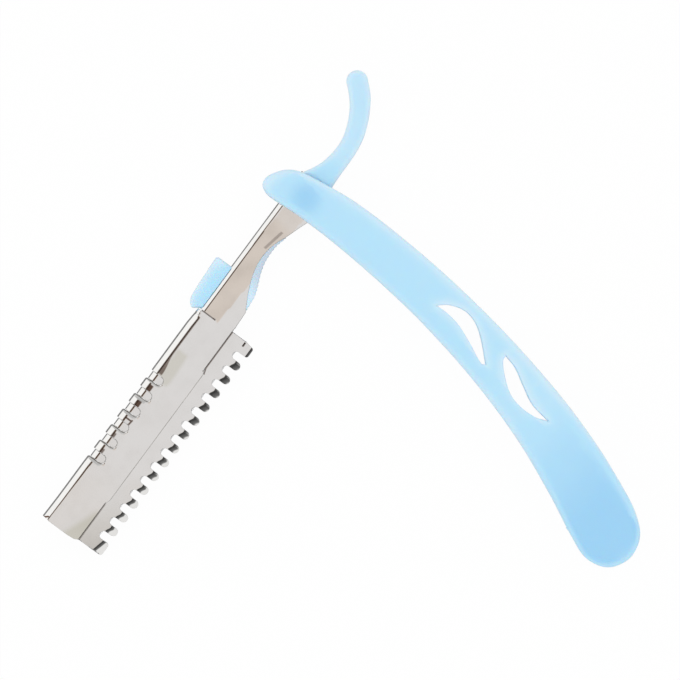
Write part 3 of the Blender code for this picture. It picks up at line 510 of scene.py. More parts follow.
def solid(area, top, bottom, flip=False):
    """A closed mesh with an area's triangles on both sides and walls along its edges."""
    count = len(area.points)
    faces = list(area.faces) + [tuple(i + count for i in reversed(face)) for face in area.faces]
    used = {pair: True for a, b, c in area.faces for pair in ((a, b), (b, c), (c, a))}
    faces += [(b, a, a + count, b + count) for a, b in used if (b, a) not in used]
    if flip:
        faces = [tuple(reversed(face)) for face in faces]
    mesh = bpy.data.meshes.new("piece")
    mesh.from_pydata((np.concatenate((top, bottom)) * MM).tolist(), [], faces)
    mesh.validate()
    mesh.shade_smooth()
    return mesh


def plate(area, top, bottom):
    """A flat piece whose two heights vary over its area."""
    upper = np.column_stack((area.points, top))
    lower = np.column_stack((area.points, bottom))
    mesh = solid(area, upper, lower)
    mesh.set_sharp_from_angle(angle=SHARP_ANGLE)
    return mesh


def crown(distance, radius, lowest=0.0):
    """How far below its full height a rounded edge lies: a quarter round."""
    part = np.clip(1 - distance / radius, 0, 1)
    return (radius - lowest) * (1 - np.sqrt(1 - part ** 2))


# Bent sheets

class Section:
    """A line across a bent sheet, as points and headings at distances from where its flat ends.

    Each bend is a length and a radius: a positive radius bends inwards, and 0 is straight.
    """

    def __init__(self, bends):
        self.bends = bends

    def at(self, distance):
        x, y, heading = distance * 1.0, np.zeros_like(distance), np.zeros_like(distance)
        here, start = (0.0, 0.0, 0.0), 0.0
        for number, (reach, radius) in enumerate(self.bends):
            chosen = distance > start
            run = distance[chosen] - start
            if number < len(self.bends) - 1:
                run = np.minimum(run, reach)
            x[chosen], y[chosen], heading[chosen] = self.led_on(here, run, radius)
            here = self.led_on(here, reach, radius)
            start += reach
        return x, y, heading

    @staticmethod
    def led_on(here, run, radius):
        """The point and heading after a run along one bend."""
        x, y, heading = here
        if not radius:
            return x + run * math.cos(heading), y - run * math.sin(heading), heading
        turned = heading + run / radius
        return (x + radius * (np.sin(turned) - math.sin(heading)),
                y + radius * (np.cos(turned) - math.cos(heading)), turned)


def bent_sheet(area, place, thickness, edge, flip=False):
    """A sheet of metal: the area is its flat pattern, and place puts its outer face in space."""
    u, s = area.points.T
    point = place(u, s)
    by_u = place(u + SLOPE_STEP, s) - place(u - SLOPE_STEP, s)
    by_s = place(u, s + SLOPE_STEP) - place(u, s - SLOPE_STEP)
    normal = np.cross(by_u, by_s)
    normal /= np.linalg.norm(normal, axis=1)[:, None]
    if flip:
        normal = -normal
    side = by_u * area.way[:, :1] + by_s * area.way[:, 1:]
    side /= np.linalg.norm(side, axis=1)[:, None]
    lean = np.clip(1 - area.distance / edge, 0, 1)[:, None]
    upright = np.sqrt(1 - lean ** 2)
    drop = edge * (1 - upright)
    depth = np.broadcast_to(thickness, u.shape)[:, None]
    mesh = solid(area, point - normal * drop, point - normal * (depth - drop), flip)
    upper = normal * upright + side * lean
    lower = side * lean - normal * upright
    mesh.normals_split_custom_set_from_vertices(np.concatenate((upper, lower)).tolist())
    return mesh


def ramp(x, start, end):
    t = np.clip((x - start) / (end - start), 0, 1)
    return t * t * (3 - 2 * t)


# Pieces

def add_piece(name, mesh, body, finish, stands_for, where=HEAD):
    """Put a finished piece in the scene, on its body, in place of its CAD node."""
    mesh.name = name
    piece = bpy.data.objects.new(name, mesh)
    piece.matrix_world = where
    bpy.context.scene.collection.objects.link(piece)
    mesh.materials.append(material(finish))
    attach(piece, body)
    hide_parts(stands_for)


def set_tone(mesh, values):
    """Give each vertex the depth of its colour, partly for the plastic's thickness and partly as painted
    light and shade. A plate's values serve for both its sides.
    """
    layer = mesh.attributes.new("tone", "FLOAT", "POINT")
    values = np.tile(values, len(mesh.vertices) // len(values))
    layer.data.foreach_set("value", values.astype(np.float32))


def handle_area():
    outline = smooth(HANDLE_EDGE, 12, closed=True)
    windows = [[p for stretch in sides for p in smooth(stretch, 9)[:-1]] for sides in HANDLE_WINDOWS]
    return Area(outline, windows, SCALE_ROWS, np.arange(-10, 126, SCALE_SPACING),
                np.arange(-12, 13, SCALE_SPACING))


def scale_mesh(sizes, side):
    """One scale of the handle: side is 1 for the front and -1 for the rear."""
    area = handle_area()
    thick = sizes.scale_thickness / MM
    rim, _ = nearest(area.points, area.loops[:1])
    hole, _ = nearest(area.points, area.loops[1:])
    fall = np.maximum(crown(rim, sizes.scale_round / MM, 0.15),
                      crown(hole, sizes.window_round / MM))
    outer = SLOT_HALF + thick - fall
    inner = SLOT_HALF + crown(area.distance, 0.1)
    mesh = plate(area, outer, inner) if side > 0 else plate(area, -inner, -outer)
    x, y = area.points.T
    set_tone(mesh, handle_tone(x, y, np.minimum(rim, hole + 0.4)))
    return mesh


def handle_tone(x, y, reach):
    """How deep the plastic's colour is: deepest about the pivot and over the spacer, pale at the rim. This is
    partly the plastic's thickness and partly painted light, pale at the rim and shaded in the middle.
    """
    core = 0.15 + sum(deeper * ramp(x, start, end) for deeper, start, end in CORE_TONES)
    core += 0.42 * (1 - ramp(np.hypot(x - 0.2, y + 0.2), 0.5, 7.5))
    upper, far = y > 3.0, ramp(x, 85.0, 110.0)
    depth = np.where(upper, 3.6, 2.3) - 0.8 * far
    lowest = np.where(upper, -0.04, 0.1) + 0.12 * far
    return lowest + (core - lowest) * np.clip(reach / depth, 0, 1) ** 0.6


def finger_line(per_span=8):
    return smooth([(HEAD_START + x, v) for x, v in FINGER_EDGE], per_span)


def bent(bends):
    """Bends in degrees as the lengths and radii of a section."""
    return [(math.radians(turn) * radius, radius) for turn, radius in bends]


SHANK_FOLD = Section(bent(SHANK_BENDS))
FOLD_REACH = sum(reach for reach, _ in SHANK_FOLD.bends)
FOLD_X, FOLD_Y, _ = SHANK_FOLD.at(np.array([FOLD_REACH]))
FOLD_STRAIGHT = 2 * (TANG_HALF + float(FOLD_Y[0]))
SHANK_FLAT_V = SPINE_V + float(FOLD_X[0])
SHANK_AROUND = 2 * FOLD_REACH + FOLD_STRAIGHT
FOLD_MIDDLE = SHANK_FLAT_V - SHANK_AROUND / 2
SHANK_SECTION = Section(SHANK_FOLD.bends + [(FOLD_STRAIGHT, 0)] + SHANK_FOLD.bends[::-1] + [(10, 0)])
BARREL_SECTIONS = [Section(bent(foot + BARREL_ROLL)) for _, foot in BARREL_FOOTS]
SLIT_MIDDLE = HEAD_START + SLIT_WIDTH / 2


def rear_wall(v):
    """Where a line across the rear wall of the shank lies in the flat pattern."""
    return SHANK_FLAT_V - SHANK_AROUND - (v - SHANK_FLAT_V)


def holder_outline():
    """Flat pattern of the head's sheet, from the tongue along the comb side and back."""
    fingers = finger_line()
    lip = HEAD_START + LIP_HEEL, HEAD_END - LIP_TOE
    plate_side = [(HEAD_START, PLATE_END_V), (lip[0], PLATE_END_V), (lip[0] + LIP_RAMP, PLATE_LIP_V),
                  (lip[1] - LIP_RAMP, PLATE_LIP_V), (lip[1], PLATE_END_V)]
    corner = [(HEAD_END + x, PLATE_END_V + y) for x, y in TIP_CORNER]
    line = [(TONGUE_END, TONGUE_V[1]), (TANG_END, TONGUE_V[1]), (TANG_END, TANG_EDGE_V)]
    line += fingers + plate_side + corner
    line += [(HEAD_END, PIN_V + 0.6), (HEAD_END - 0.25, PIN_V - 1.2), (HEAD_END - 0.25, BARREL_ROLL_END)]
    for start in reversed(WINDOW_STARTS):
        half = WINDOW_WIDTH / 2
        line += [(start + WINDOW_WIDTH, BARREL_ROLL_END)]
        line += arc((start + half, WINDOW_END_V - half), half, 0, math.pi, 14)
        line += [(start, BARREL_ROLL_END)]
    slit_end = HEAD_START + SLIT_WIDTH
    line += [(slit_end, BARREL_ROLL_END), (slit_end, SLIT_END_V), (HEAD_START, SLIT_END_V),
             (HEAD_START, FOLD_MIDDLE), (REAR_WALL_END, FOLD_MIDDLE)]
    rear = [(u, rear_wall(v)) for u, v in reversed(fingers) if u < REAR_WALL_END]
    line += [(REAR_WALL_END, rear_wall(PLATE_END_V))] + rear
    line += [(TANG_END, rear_wall(TANG_EDGE_V)), (TANG_END, rear_wall(TONGUE_V[1])),
             (TONGUE_END, rear_wall(TONGUE_V[1])), (TONGUE_END, rear_wall(TONGUE_V[0])),
             (TANG_END, rear_wall(TONGUE_V[0])), (TANG_END, TONGUE_V[0]), (TONGUE_END, TONGUE_V[0])]
    return line


def holder_place(u, s):
    """Where the front face of the head's sheet lies, with the dents of its pressing."""
    shank = u < SLIT_MIDDLE
    past = np.maximum(np.where(shank, SHANK_FLAT_V, height_at(BARREL_STARTS, u)) - s, 0.0)
    stations = [station for station, _ in BARREL_FOOTS]
    shares = [np.interp(u, stations, row) for row in np.eye(len(stations))]
    barrel = sum(share * np.array(section.at(past)) for share, section in zip(shares, BARREL_SECTIONS))
    x, y, heading = np.where(shank, SHANK_SECTION.at(past), barrel)
    v = s + past - x
    fade = 1 - ramp(heading, 0.0, 1.2)
    wave = sum(height * np.sin(u * by_u + v * by_v + start) for height, by_u, by_v, start in SHEET_WAVES)
    dent = edge_rolls(u, v) * (s > 0) + window_side(u, s)
    dent += (shank_tilt(u, v) + plate_dents(u, v) + wave * ramp(u, 8, 14)) * fade
    return np.stack((u, v + np.sin(heading) * dent, TANG_HALF + y - np.cos(heading) * dent), axis=1)


def roll(distance, reach, drop):
    """How far a surface falls towards an edge that it rolls off."""
    return drop * np.clip(1 - distance / reach, 0, 1) ** 2


def edge_rolls(u, v):
    """The sheared comb side: rolled over at both ends, and hardly at all along the lip."""
    lip = HEAD_START + LIP_HEEL, HEAD_END - LIP_TOE
    middle = ramp(u, lip[0], lip[0] + LIP_RAMP) * (1 - ramp(u, lip[1] - 0.4, lip[1]))
    ends = roll(PLATE_END_V - v, *END_ROLL) * (1 - middle) * ramp(u, REAR_WALL_END, REAR_WALL_END + 0.8)
    slant = (u > lip[0]) & (u < lip[0] + LIP_RAMP)
    sheared = PLATE_END_V + (u - lip[0]) / LIP_RAMP * (PLATE_LIP_V - PLATE_END_V)
    ends += roll(sheared - v, *SLANT_ROLL) * slant * middle
    return ends + roll(PLATE_LIP_V - v, *LIP_ROLL) * middle


def shank_tilt(u, v):
    """The shank leans back a little past a faint fold line."""
    fold = LEAN_V + (HEAD_START - u) * LEAN_SLANT
    return LEAN_SLOPE * np.clip(fold - v, 0, 6) * (u < SLIT_MIDDLE) * (0.6 + 0.4 * ramp(u, *LEAN_SPAN))


def plate_dents(u, v):
    """A shallow hollow at the tip's corner, and the sprung toe end."""
    corner = TIP_HOLLOW * ramp(u, 96.0, 108.0) * np.clip((v + 0.5) / 6.0, 0, 1) ** 2
    toe_end = roll(HEAD_END - u, *TOE_ROLL) * ramp(-v, 3.6, 4.4)
    return corner + toe_end


def window_side(u, s):
    """The toe side of each window is pressed down along its edge."""
    half = WINDOW_WIDTH / 2
    drop = np.zeros_like(u)
    for start in WINDOW_STARTS:
        off = u - start - half
        away = np.hypot(off, np.maximum(s - WINDOW_END_V + half, 0.0))
        edge = away - half
        faces_toe = ramp(off / np.maximum(away, 0.1), 0.35, 0.9)
        drop += PRESSED_SLOPE * np.clip(PRESSED_REACH - edge, 0.0, PRESSED_REACH) * faces_toe * (edge > -0.1)
    return drop


def holder_mesh(sizes):
    """Shank, front plate and rolled barrel from one sheet."""
    def step(u, s):
        return 0.16 if s < HOLDER_BENT_S else 0.5
    holes = [circle((0, 0), PIVOT_BORE), circle((0, rear_wall(0)), PIVOT_BORE)]
    quarter, v = math.pi / 2, rear_wall(SLOT_V)
    for station in SLOT_STATIONS:
        holes.append(arc((station, v), SLOT_RADIUS, -quarter, quarter, 10)
                     + arc((station - SLOT_TRAVEL, v), SLOT_RADIUS, quarter, 3 * quarter, 10))
    outline = divided(holder_outline(), step)
    holes = [divided(hole, step) for hole in holes]
    lowest = min(s for _, s in outline)
    area = Area(outline, holes, HOLDER_ROWS, np.arange(-12.4, HEAD_END, 0.8),
                spaced((lowest, -3.4, 0.14), (-3.4, 6.0, 0.35)))
    return bent_sheet(area, holder_place, sizes.holder_sheet / MM, sizes.edge_round / MM)


def tooth_curl(u):
    """Where the comb starts to curl at a station, and the radius of its curl.

    The lines that the teeth curl about run askew, so each starts to curl first on its toe side.
    """
    first = NOTCH_FIRST - NOTCH_PITCH / 2
    tooth = np.clip(np.round((u - first) / NOTCH_PITCH), 0, NOTCH_COUNT)
    off = u - first - tooth * NOTCH_PITCH
    near = np.clip(off, -TOOTH_HALF, TOOTH_HALF)
    askew = CURL_SKEW * ramp(near, *SKEW_SPAN) + HEEL_SKEW * np.maximum(SKEW_SPAN[0] - near, 0)
    askew = np.where(tooth == NOTCH_COUNT, TOE_TAB_SKEW * off, askew)
    numbers, starts, radii = np.array(TOOTH_CURLS).T
    start = np.interp(tooth, numbers, starts) - askew * (tooth > 0)
    return start, np.interp(tooth, numbers, radii)


def comb_pattern(u, v):
    """Where a point of the comb, as seen from the front, lies in its flat pattern."""
    start, radius = tooth_curl(u)
    ahead = np.maximum(v - start, 0.0)
    bend = radius * math.sin(CURL_ANGLE)
    around = radius * np.arcsin(np.minimum(ahead, bend) / radius)
    return np.minimum(v, start) + around + np.maximum(ahead - bend, 0.0) / math.cos(CURL_ANGLE)


def comb_place(u, s):
    start, radius = tooth_curl(u)
    past = np.maximum(s - start, 0.0)
    turn = np.minimum(past / radius, CURL_ANGLE)
    straight = past - radius * turn
    v = np.minimum(s, start) + radius * np.sin(turn) + straight * math.cos(CURL_ANGLE)
    fall = radius * (1 - np.cos(turn)) + straight * math.sin(CURL_ANGLE)
    sprung = COMB_SPRING * ramp(u, 84.0, 107.0) * np.clip(v - 5.0, 0.0, 6.0)
    return np.stack((u, v, COMB_FRONT_W - fall - sprung - tab_groove(u, v)), axis=1)


def tab_groove(u, v):
    """The short groove in the heel tab."""
    u0, v0, u1, v1 = TAB_GROOVE
    along = ramp(u, u0 - 0.1, u0 + 0.1) * (1 - ramp(u, u1 - 0.1, u1 + 0.1))
    across = np.clip((v - (v0 + v1) / 2) / GROOVE_HALF, -1, 1)
    return GROOVE_DEPTH * along * np.cos(across * math.pi / 2) ** 2


def tooth_side(edge, way, reach, steps=8):
    """Half of a round tooth end, from its flank round to its tip, as seen from the front."""
    angles = [math.pi / 2 * k / steps for k in range(steps + 1)]
    return [(edge + way * reach * (1 - math.cos(a)), TIP_V - reach + reach * math.sin(a)) for a in angles]


def comb_outline():
    """Outline of the comb from the front: its back, then its teeth from the toe to the heel."""
    root = NOTCH_ROOT_V + NOTCH_HALF
    line = [(COMB_START, COMB_BACK_V), (COMB_END, COMB_BACK_V)]
    line += tooth_side(COMB_END, -1, TAB_ROUND)
    for number in reversed(range(NOTCH_COUNT)):
        middle = NOTCH_FIRST + number * NOTCH_PITCH
        high, low = middle + NOTCH_HALF, middle - NOTCH_HALF
        last, first = number == NOTCH_COUNT - 1, number == 0
        line += reversed(tooth_side(high, 1, TAB_ROUND if last else TOOTH_ROUND))
        line += arc((middle, root), NOTCH_HALF, 0, -math.pi, 14)
        line += tooth_side(low, -1, TAB_ROUND if first else TOOTH_ROUND)
    heel = tooth_side(COMB_START + TAB_HEEL_SLANT, 1, TAB_ROUND)
    return line + list(reversed(heel)) + [(COMB_START, 9.9)]


def comb_mesh(sizes):
    """Guard comb: a flat strip whose teeth curl back."""
    def step(u, s):
        return 0.16 if s > COMB_FINE_V else 0.7
    outline = divided(comb_outline(), step)
    outline = [(u, float(comb_pattern(np.array(u), v))) for u, v in outline]
    holes = [divided(circle(at, STUD_BORE), step) for at in STUD_PLACES]
    u0, v0, u1, v1 = TAB_GROOVE
    stations = spaced((COMB_START, COMB_END, 0.36), (u0 - 0.2, u1 + 0.2, 0.1))
    across = spaced((-0.6, 8.4, 0.6), (8.4, v0 - 0.2, 0.2), (v0 - 0.2, v1 + 0.2, 0.07),
                    (v1 + 0.2, 15.5, 0.18))
    area = Area(outline, holes, SHEET_ROWS, stations, across)
    return bent_sheet(area, comb_place, sizes.comb_sheet / MM, sizes.edge_round / MM)


LEAF_LOOP = (LEAF_DIP_RADIUS * LEAF_DIP, LEAF_DIP_RUN, LEAF_LOOP_RADIUS * LEAF_LOOP_TURN,
             LEAF_TAIL_BEND[0] * LEAF_TAIL_BEND[1])
LEAF_SECTION = Section([*zip(LEAF_LOOP, (-LEAF_DIP_RADIUS, 0, LEAF_LOOP_RADIUS, LEAF_TAIL_BEND[1])), (9, 0)])
LEAF_LOOP_END, _, _ = LEAF_SECTION.at(np.array([sum(LEAF_LOOP)]))
LEAF_AROUND = sum(LEAF_LOOP) + LEAF_TAIL_END_V - (LEAF_FLAT_V - float(LEAF_LOOP_END[0]))


def leaf_place(u, s):
    x, y, _ = LEAF_SECTION.at(np.maximum(LEAF_FLAT_V - s, 0.0))
    v = np.where(s < LEAF_FLAT_V, LEAF_FLAT_V - x, s)
    return np.stack((u, v, LEAF_BACK_W - y), axis=1)


def leaf_mesh(sizes):
    """Rear leaf with the six loops that roll round the hinge pin."""
    def step(u, s):
        return 0.14 if s < LEAF_BACK_V + 0.1 else 0.8
    end = LEAF_FLAT_V - LEAF_AROUND
    line = [(LEAF_START, LEAF_BACK_V)]
    for start in WINDOW_STARTS:
        low, high = start + LEAF_SIDE_GAP, start + WINDOW_WIDTH - LEAF_SIDE_GAP
        half = (high - low) / 2
        line += [(low, LEAF_BACK_V)] + arc((low + half, end + half), half, math.pi, math.tau, 14)
        line += [(high, LEAF_BACK_V)]
    line += [(LEAF_END, LEAF_BACK_V)]
    line += rounded([(LEAF_END, 0), (LEAF_END, LEAF_EDGE_V), (LEAF_START, LEAF_EDGE_V), (LEAF_START, 0)],
                    [0, LEAF_CORNER, LEAF_CORNER, 0])[1:-1]
    area = Area(divided(line, step), [], SHEET_ROWS, np.arange(LEAF_START, LEAF_END, 0.9),
                spaced((end, -2.4, 0.14), (-2.4, LEAF_EDGE_V, 0.7)))
    bent = area.points[:, 1] < LEAF_FLAT_V - LEAF_DIP_RADIUS * LEAF_DIP
    thickness = np.where(bent, LEAF_LOOP_SHEET, sizes.leaf_sheet / MM)
    return bent_sheet(area, leaf_place, thickness, sizes.edge_round / MM, flip=True)


def slide_mesh():
    outline = divided(rounded(SLIDE_OUTLINE, SLIDE_CORNERS), lambda u, v: 0.5)
    area = Area(outline, [], SLIDE_ROWS, np.arange(27, 41, 1.0), np.arange(-7.4, 0, 1.0))
    fall = crown(area.distance, SLIDE_ROUND)
    return plate(area, SLIDE_W[1] - fall, SLIDE_W[0] + fall)


def cushion(outline, edge, half, radius, low, rows=None, spacing=0.9):
    """The area of a cushion, how far its points are from its round edge, and its half thickness.

    The edge is an open line along the outline. What it leaves out meets another piece, and is full.
    """
    xs, ys = np.array(outline).T
    rows = rows or tuple(radius * share for share in CUSHION_ROWS)
    area = Area(outline, [], rows, np.arange(xs.min(), xs.max(), spacing),
                np.arange(ys.min(), ys.max(), spacing))
    far, _ = nearest(area.points, [edge + edge[-2:0:-1]])
    return area, far, half - crown(far, radius) * (half - low) / radius


def pad_mesh(sizes):
    """Thumb pad, whose foot laps over the front of the shank's fold."""
    points = [(HEAD_START + x, SPINE_V + y) for x, y in PAD_OUTLINE]
    edge = [points[-1]] + smooth(points[:-2], 6) + [points[-2]]
    middle, half = (PAD_W[0] + PAD_W[1]) / 2, (PAD_W[1] - PAD_W[0]) / 2
    area, far, rise = cushion(divided(edge, lambda u, v: 0.3), edge, half, sizes.pad_round / MM,
                              half - PAD_EDGE_DROP, rows=PAD_ROWS, spacing=0.6)
    u, v = area.points.T
    radius = SHANK_BENDS[-1][1]
    fold = FOLD_STRAIGHT / 2 + np.sqrt(np.maximum(radius ** 2 - (v - SPINE_V - radius) ** 2, 0)) + 0.02
    bottom = np.where(v > SPINE_V - 0.02, np.minimum(fold, middle + rise - 0.05), middle - rise)
    mesh = plate(area, middle + rise, bottom)
    # Colour depth, partly painted light and shade: deeper towards the spine and inside the rim, paler at both
    # ends
    tone = 0.5 * ramp(v, -9.6, -4.8) + 0.12 * ramp(far, 0, 1.2)
    tone -= 0.18 * (1 - ramp(u, 26.0, 30.0)) + 0.12 * ramp(u, 37.0, 40.0)
    set_tone(mesh, tone)
    return mesh


def tail_mesh(sizes):
    side = smooth([(TANG_END + x, v) for x, v in TAIL_SPINE_SIDE], 9)
    back = smooth([(TANG_END + x, v) for x, v in TAIL_COMB_SIDE], 9)
    centre = (TANG_END + TAIL_TIP[0], TAIL_TIP[1])
    start = math.atan2(side[-1][1] - centre[1], side[-1][0] - centre[0])
    end = math.atan2(back[0][1] - centre[1], back[0][0] - centre[0])
    tip = arc(centre, TAIL_TIP_RADIUS, start, end - math.tau, 30)[1:-1]
    edge = side + tip + back
    area, far, rise = cushion(edge, edge, TAIL_HALF_DEPTH, sizes.tail_round / MM, TAIL_EDGE_HALF)
    mesh = plate(area, rise, -rise)
    u, v = area.points.T
    # Colour depth, partly painted light and shade: pale at the rim, deeper inside and towards the tang
    tone = 0.02 + (0.29 + 0.24 * ramp(u, -14, -7)) * ramp(far, 0, 1.6) ** 0.7
    set_tone(mesh, tone)
    return mesh


def grip_mesh(sizes):
    """Ridged bead along the finger side of the shank, with the web that holds it."""
    proud = smooth([(HEAD_START + x, y) for x, y in GRIP_PROUD], 10)
    fingers = finger_line(16)
    start, end = proud[0][0], proud[-1][0]
    stations = np.arange(start, end, RIDGE_PITCH / 12)
    height = height_at(proud, stations)
    valley = 0.5 - 0.5 * np.cos((stations - start) / RIDGE_PITCH * math.tau)
    depth = np.minimum(sizes.ridge_height / MM, height / 2) * valley
    ridges = height_at(fingers, stations) + height - depth
    ridged = list(zip(stations.tolist(), ridges.tolist()))[::-1]
    shoulder = [p for p in fingers if start <= p[0] <= end]
    inner = offset(shoulder, 0.02)
    area, _, rise = cushion(inner + ridged, [inner[-1]] + ridged + [inner[0]], GRIP_HALF_DEPTH, GRIP_ROUND,
                            GRIP_EDGE_HALF, rows=GRIP_ROWS, spacing=0.5)
    web = offset(shoulder, -WEB_DEPTH) + offset(shoulder, 0.2)[::-1]
    web_area, _, web_rise = cushion(web, web, WEB_HALF_DEPTH, WEB_ROUND, WEB_HALF_DEPTH - WEB_ROUND,
                                    rows=GRIP_ROWS[:1], spacing=1.0)
    mesh = joined((plate(area, rise, -rise), plate(web_area, web_rise, -web_rise)))
    stations = np.array([vertex.co.x for vertex in mesh.vertices]) / MM
    set_tone(mesh, -0.5 + 0.42 * ramp(stations, 20.0, 31.0))
    return mesh


def joined(meshes):
    """Several meshes as one."""
    verts, faces = [], []
    for mesh in meshes:
        start = len(verts)
        verts += [tuple(v.co) for v in mesh.vertices]
        faces += [tuple(i + start for i in p.vertices) for p in mesh.polygons]
    one = bpy.data.meshes.new("piece")
    one.from_pydata(verts, [], faces)
    one.shade_smooth()
    one.set_sharp_from_angle(angle=SHARP_ANGLE)
    return one


def lathe(profile, steps=40):
    """A profile of radius and height swept round, closed at both ends on its axis."""
    rings = [(r, z) for r, z in profile if r > 0]
    verts = [(0, 0, profile[0][1]), (0, 0, profile[-1][1])]
    for r, z in rings:
        verts += [(x, y, z) for x, y in circle((0, 0), r, steps)]
    faces = []
    for i in range(steps):
        j = (i + 1) % steps
        faces.append((0, 2 + i, 2 + j))
        last = 2 + (len(rings) - 1) * steps
        faces.append((1, last + j, last + i))
        for ring in range(len(rings) - 1):
            a = 2 + ring * steps
            faces.append((a + i, a + steps + i, a + steps + j, a + j))
    mesh = bpy.data.meshes.new("turned")
    mesh.from_pydata((np.array(verts) * MM).tolist(), [], faces)
    mesh.shade_smooth()
    mesh.set_sharp_from_angle(angle=TURNED_SHARP_ANGLE)
    return mesh


# Materials

def maths(operation, reflected=False):
    """A method of a socket that adds a Math node for itself and another value."""
    def method(self, other):
        values = (other, self) if reflected else (self, other)
        return self.shader.node("ShaderNodeMath", {"operation": operation}, dict(enumerate(values)))
    return method


class Socket:
    """A shader socket that takes part in Python expressions."""

    def __init__(self, shader, socket):
        self.shader = shader
        self.socket = socket

    __add__ = __radd__ = maths("ADD")
    __sub__ = maths("SUBTRACT")
    __rsub__ = maths("SUBTRACT", reflected=True)
    __mul__ = __rmul__ = maths("MULTIPLY")
    __truediv__ = maths("DIVIDE")
    __mod__ = maths("FLOORED_MODULO")
    maximum = maths("MAXIMUM")

    def clipped(self, start, end):
        """How far the value has gone from a start to an end, from 0 to 1, eased at both ends."""
        return self.shader.node("ShaderNodeMapRange", {"interpolation_type": "SMOOTHSTEP"},
                                {"Value": self, "From Min": start, "From Max": end})


class Shader:
    """The node tree of a material or of the world."""

    def __init__(self, owner):
        owner.use_nodes = True
        self.tree = owner.node_tree
        self.tree.nodes.clear()

    def node(self, kind, settings=None, values=None, output=0):
        """Add a node: its settings first, then the values or links of its sockets."""
        node = self.tree.nodes.new(kind)
        for key, value in (settings or {}).items():
            if key == "stops":
                set_stops(node.color_ramp, value)
            else:
                setattr(node, key, value)
        for key, value in (values or {}).items():
            if isinstance(value, Socket):
                self.tree.links.new(value.socket, node.inputs[key])
            else:
                node.inputs[key].default_value = value
        return Socket(self, node.outputs[output]) if node.outputs else None

    def mix(self, share, a, b):
        """A colour between two others."""
        return self.node("ShaderNodeMix", {"data_type": "RGBA"},
                         {0: share, 6: padded(a), 7: padded(b)}, 2)

    def noise(self, place, scale, detail=2.0, roughness=0.5):
        return self.node("ShaderNodeTexNoise", None, {"Vector": place, "Scale": scale, "Detail": detail,
                                                      "Roughness": roughness})

    def darkened(self, share, rgb, factor):
        """A colour, and where the share is 1 the same colour at a part of its strength."""
        return self.mix(share, rgb, [c * factor for c in rgb])

    def stretched(self, place, factors):
        return self.node("ShaderNodeVectorMath", {"operation": "MULTIPLY"}, {0: place, 1: factors})

    def along(self, way, axis):
        """How far a point or a direction reaches along an axis."""
        return self.node("ShaderNodeVectorMath", {"operation": "DOT_PRODUCT"}, {0: way, 1: tuple(axis)}, 1)

    def relief(self, strength, distance, height):
        return self.node("ShaderNodeBump", None,
                         {"Strength": strength, "Distance": distance, "Height": height})

    def ray(self, kind):
        return self.node("ShaderNodeLightPath", output=f"Is {kind} Ray")

    def place(self):
        return self.node("ShaderNodeTexCoord", output="Object")

    def millimetres(self):
        """The piece's own x and y."""
        place = self.place()
        return [self.node("ShaderNodeSeparateXYZ", None, {0: place}, axis) / MM for axis in (0, 1)]

    def finish(self, values):
        """The surface, from the values or links of its sockets."""
        surface = self.node("ShaderNodeBsdfPrincipled", None, values)
        self.node("ShaderNodeOutputMaterial", None, {"Surface": surface})


def padded(value):
    """A colour with its alpha, or a socket as it is."""
    return value if isinstance(value, Socket) else (*tuple(value)[:3], 1.0)


def set_stops(colour_ramp, stops):
    while len(colour_ramp.elements) > len(stops):
        colour_ramp.elements.remove(colour_ramp.elements[-1])
    while len(colour_ramp.elements) < len(stops):
        colour_ramp.elements.new(1.0)
    for element, (position, rgb) in zip(colour_ramp.elements, stops):
        element.position = position
        element.color = (*rgb, 1.0)


def material(name):
    """The finish of that name, built the first time that it is asked for."""
    found = bpy.data.materials.get(name)
    if found is None:
        found = bpy.data.materials.new(name)
        FINISHES[name](Shader(found), bpy.context.scene.razor_colours)
    return found


def build_plastic(shader, colours):
    """Satin translucent plastic: paler where thin and at its rims, partly as painted light, deeper in its
    middle as painted shade, with a fine moulded grain.
    """
    place = shader.place()
    tone = shader.node("ShaderNodeAttribute", {"attribute_name": "tone"}, output="Fac")
    cloud = shader.noise(place, 90.0, 3.0)
    level = tone + (cloud - 0.5) * 0.12
    thin = shader.mix(level.clipped(-0.5, 0.0), colours.plastic_thin, colours.plastic_rim_lit)
    pale = shader.mix(level.clipped(0.0, 0.5), thin, colours.plastic)
    base = shader.mix(level.clipped(0.5, 1.0), pale, colours.plastic_deep_shaded)
    normal = shader.relief(0.12, 0.00004, shader.noise(place, 2600.0, 2.0))
    roughness = 0.4 + 0.12 * shader.noise(place, 700.0, 3.0)
    shader.finish({"Base Color": base, "Roughness": roughness, "Normal": normal,
                   "IOR": 1.46, "Subsurface Weight": 0.2, "Subsurface Scale": 0.002})


def build_steel(shader, colours, painted_shade=None, beige_reflection=None):
    """Nickel plated sheet, polished, with faint waves and hairline scratches."""
    place = shader.place()
    lines = shader.noise(shader.stretched(place, (60.0, 900.0, 900.0)), 1.0, 4.0, 0.6)
    waves = shader.noise(place, 95.0, 1.0)
    smears = shader.noise(place, 260.0, 3.0)
    base = shader.darkened(smears.clipped(0.35, 0.75), colours.steel, 0.97)
    roughness = 0.03 + 0.05 * smears + 0.02 * lines
    # Painted beige reflection where a finish passes its mask
    if beige_reflection is not None:
        base = shader.mix(beige_reflection, base, colours.beige_reflection)
    # Painted shade: brown and rougher where a finish passes its mask
    if painted_shade is not None:
        base = shader.mix(painted_shade, base, colours.painted_shade)
        roughness = roughness + 0.15 * painted_shade
    normal = shader.relief(0.16, 0.00006, waves + 0.02 * lines)
    shader.finish({"Base Color": base, "Roughness": roughness, "Metallic": 1.0, "Normal": normal})


def box_mask(u, v, low, high, soft, lean=0.0, about=0.0):
    """1 inside a box of stations and heights, fading to 0 over a soft margin.

    The box may lean, so that its heights fall with the distance from a station.
    """
    if lean:
        v = v + lean * (u - about)
    return (u.clipped(low[0], low[0] + soft) * (1 - u.clipped(high[0] - soft, high[0]))
            * v.clipped(low[1], low[1] + soft) * (1 - v.clipped(high[1] - soft, high[1])))
